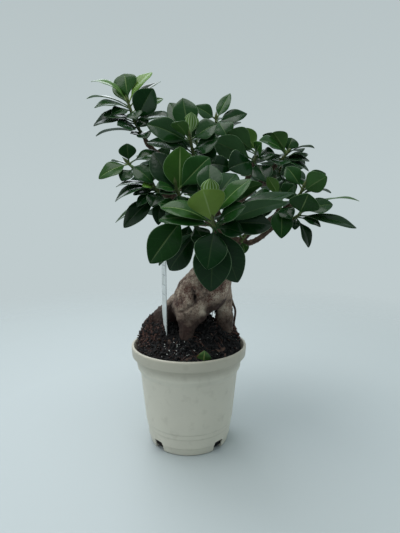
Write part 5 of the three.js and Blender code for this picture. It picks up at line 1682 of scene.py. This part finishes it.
u = np.linspace(0, 2 * np.pi, FLOOR_SIDES, endpoint=False)
floor_rings = np.array([np.column_stack([r * np.cos(u), r * np.sin(u), 0 * u - FLOOR_DROP])
                        for r in FLOOR_RADII])
k = np.arange(FLOOR_SIDES)
hub = np.column_stack([np.full(FLOOR_SIDES, len(FLOOR_RADII) * FLOOR_SIDES), k, (k + 1) % FLOOR_SIDES])
floor_shape = (np.concatenate([floor_rings.reshape(-1, 3), [(0, 0, -FLOOR_DROP)]]),
               grid_faces(len(FLOOR_RADII), FLOOR_SIDES), hub)
floor_paint, tree, surface = new_material("pale matt studio floor", Roughness=0.55,
                                          Base_Color=linear("#b5bcbd"))
place = add(tree, "TexCoord").outputs["Object"]
distance = add(tree, "VectorMath", {0: place}, operation="LENGTH")
fade = add(tree, "MapRange", {"Value": distance.outputs["Value"], "From Min": 0.25, "From Max": 0.9})
clear = add(tree, "BsdfTransparent")
blend_shader = add(tree, "MixShader", {0: fade, 1: surface.outputs["BSDF"], 2: clear.outputs["BSDF"]})
tree.links.new(blend_shader.outputs["Shader"], tree.nodes["Material Output"].inputs["Surface"])
floor_mesh = bpy.data.meshes.new("floor")
floor_mesh.from_pydata((floor_shape[0] * MM).tolist(), [],
                       floor_shape[1].tolist() + floor_shape[2].tolist())
floor_mesh.materials.append(floor_paint)
floor = bpy.data.objects.new("floor", floor_mesh)
bpy.context.scene.collection.objects.link(floor)

world = bpy.data.worlds.new("soft surround")
world.use_nodes = True
tree = world.node_tree
background = tree.nodes["Background"]
aim = add(tree, "SeparateXYZ", {"Vector": add(tree, "TexCoord").outputs["Generated"]}).outputs
back = add(tree, "Math", {0: aim["Z"], 1: 0.8, 2: aim["Y"]}, operation="MULTIPLY_ADD")
back_share = add(tree, "MapRange", {"Value": back, "From Min": -0.7, "From Max": 0.1})
seen = add(tree, "MixRGB", {"Fac": back_share, "Color1": linear(SURROUND_NEAR),
                            "Color2": linear(SURROUND)})
glow = add(tree, "MapRange", {"Value": aim["Z"], "From Min": 0.45, "From Max": 0.8, "To Min": 1.0,
                              "To Max": SKY_GLOW})
fall = add(tree, "MapRange", {"Value": aim["Z"], "From Min": 0.05, "From Max": 0.42, "To Min": 1.0,
                              "To Max": 0.92})
even = add(tree, "Math", {0: glow, 1: fall}, operation="MULTIPLY")
tree.links.new(seen.outputs["Color"], background.inputs["Color"])
tree.links.new(even.outputs["Value"], background.inputs["Strength"])
bpy.context.scene.world = world
bpy.context.scene.view_settings.view_transform = "Standard"


def panel(name, place, target, size, power, colour):
    """A soft square light that faces a target."""
    data = bpy.data.lights.new(name, "AREA")
    data.size = size
    data.energy = power
    data.color = linear(colour)[:3]
    lamp = bpy.data.objects.new(name, data)
    lamp.location = place
    way = np.array(target) - np.array(place)
    pitch = math.atan2(math.hypot(way[0], way[1]), -way[2])
    lamp.rotation_euler = (pitch, 0, math.atan2(way[1], way[0]) - math.pi / 2)
    bpy.context.scene.collection.objects.link(lamp)


panel("ceiling panel", (-0.2, -0.15, 1.3), (0, 0, 0.25), 0.75, 7.5, "#ffffff")
panel("back window panel", (-0.45, 0.8, 0.95), (0, 0, 0.25), 0.85, 5.5, "#f2f7ff")
panel("window panel", (-1.0, -0.7, 0.7), (0, 0, 0.2), 0.7, 1.6, "#f4f8ff")
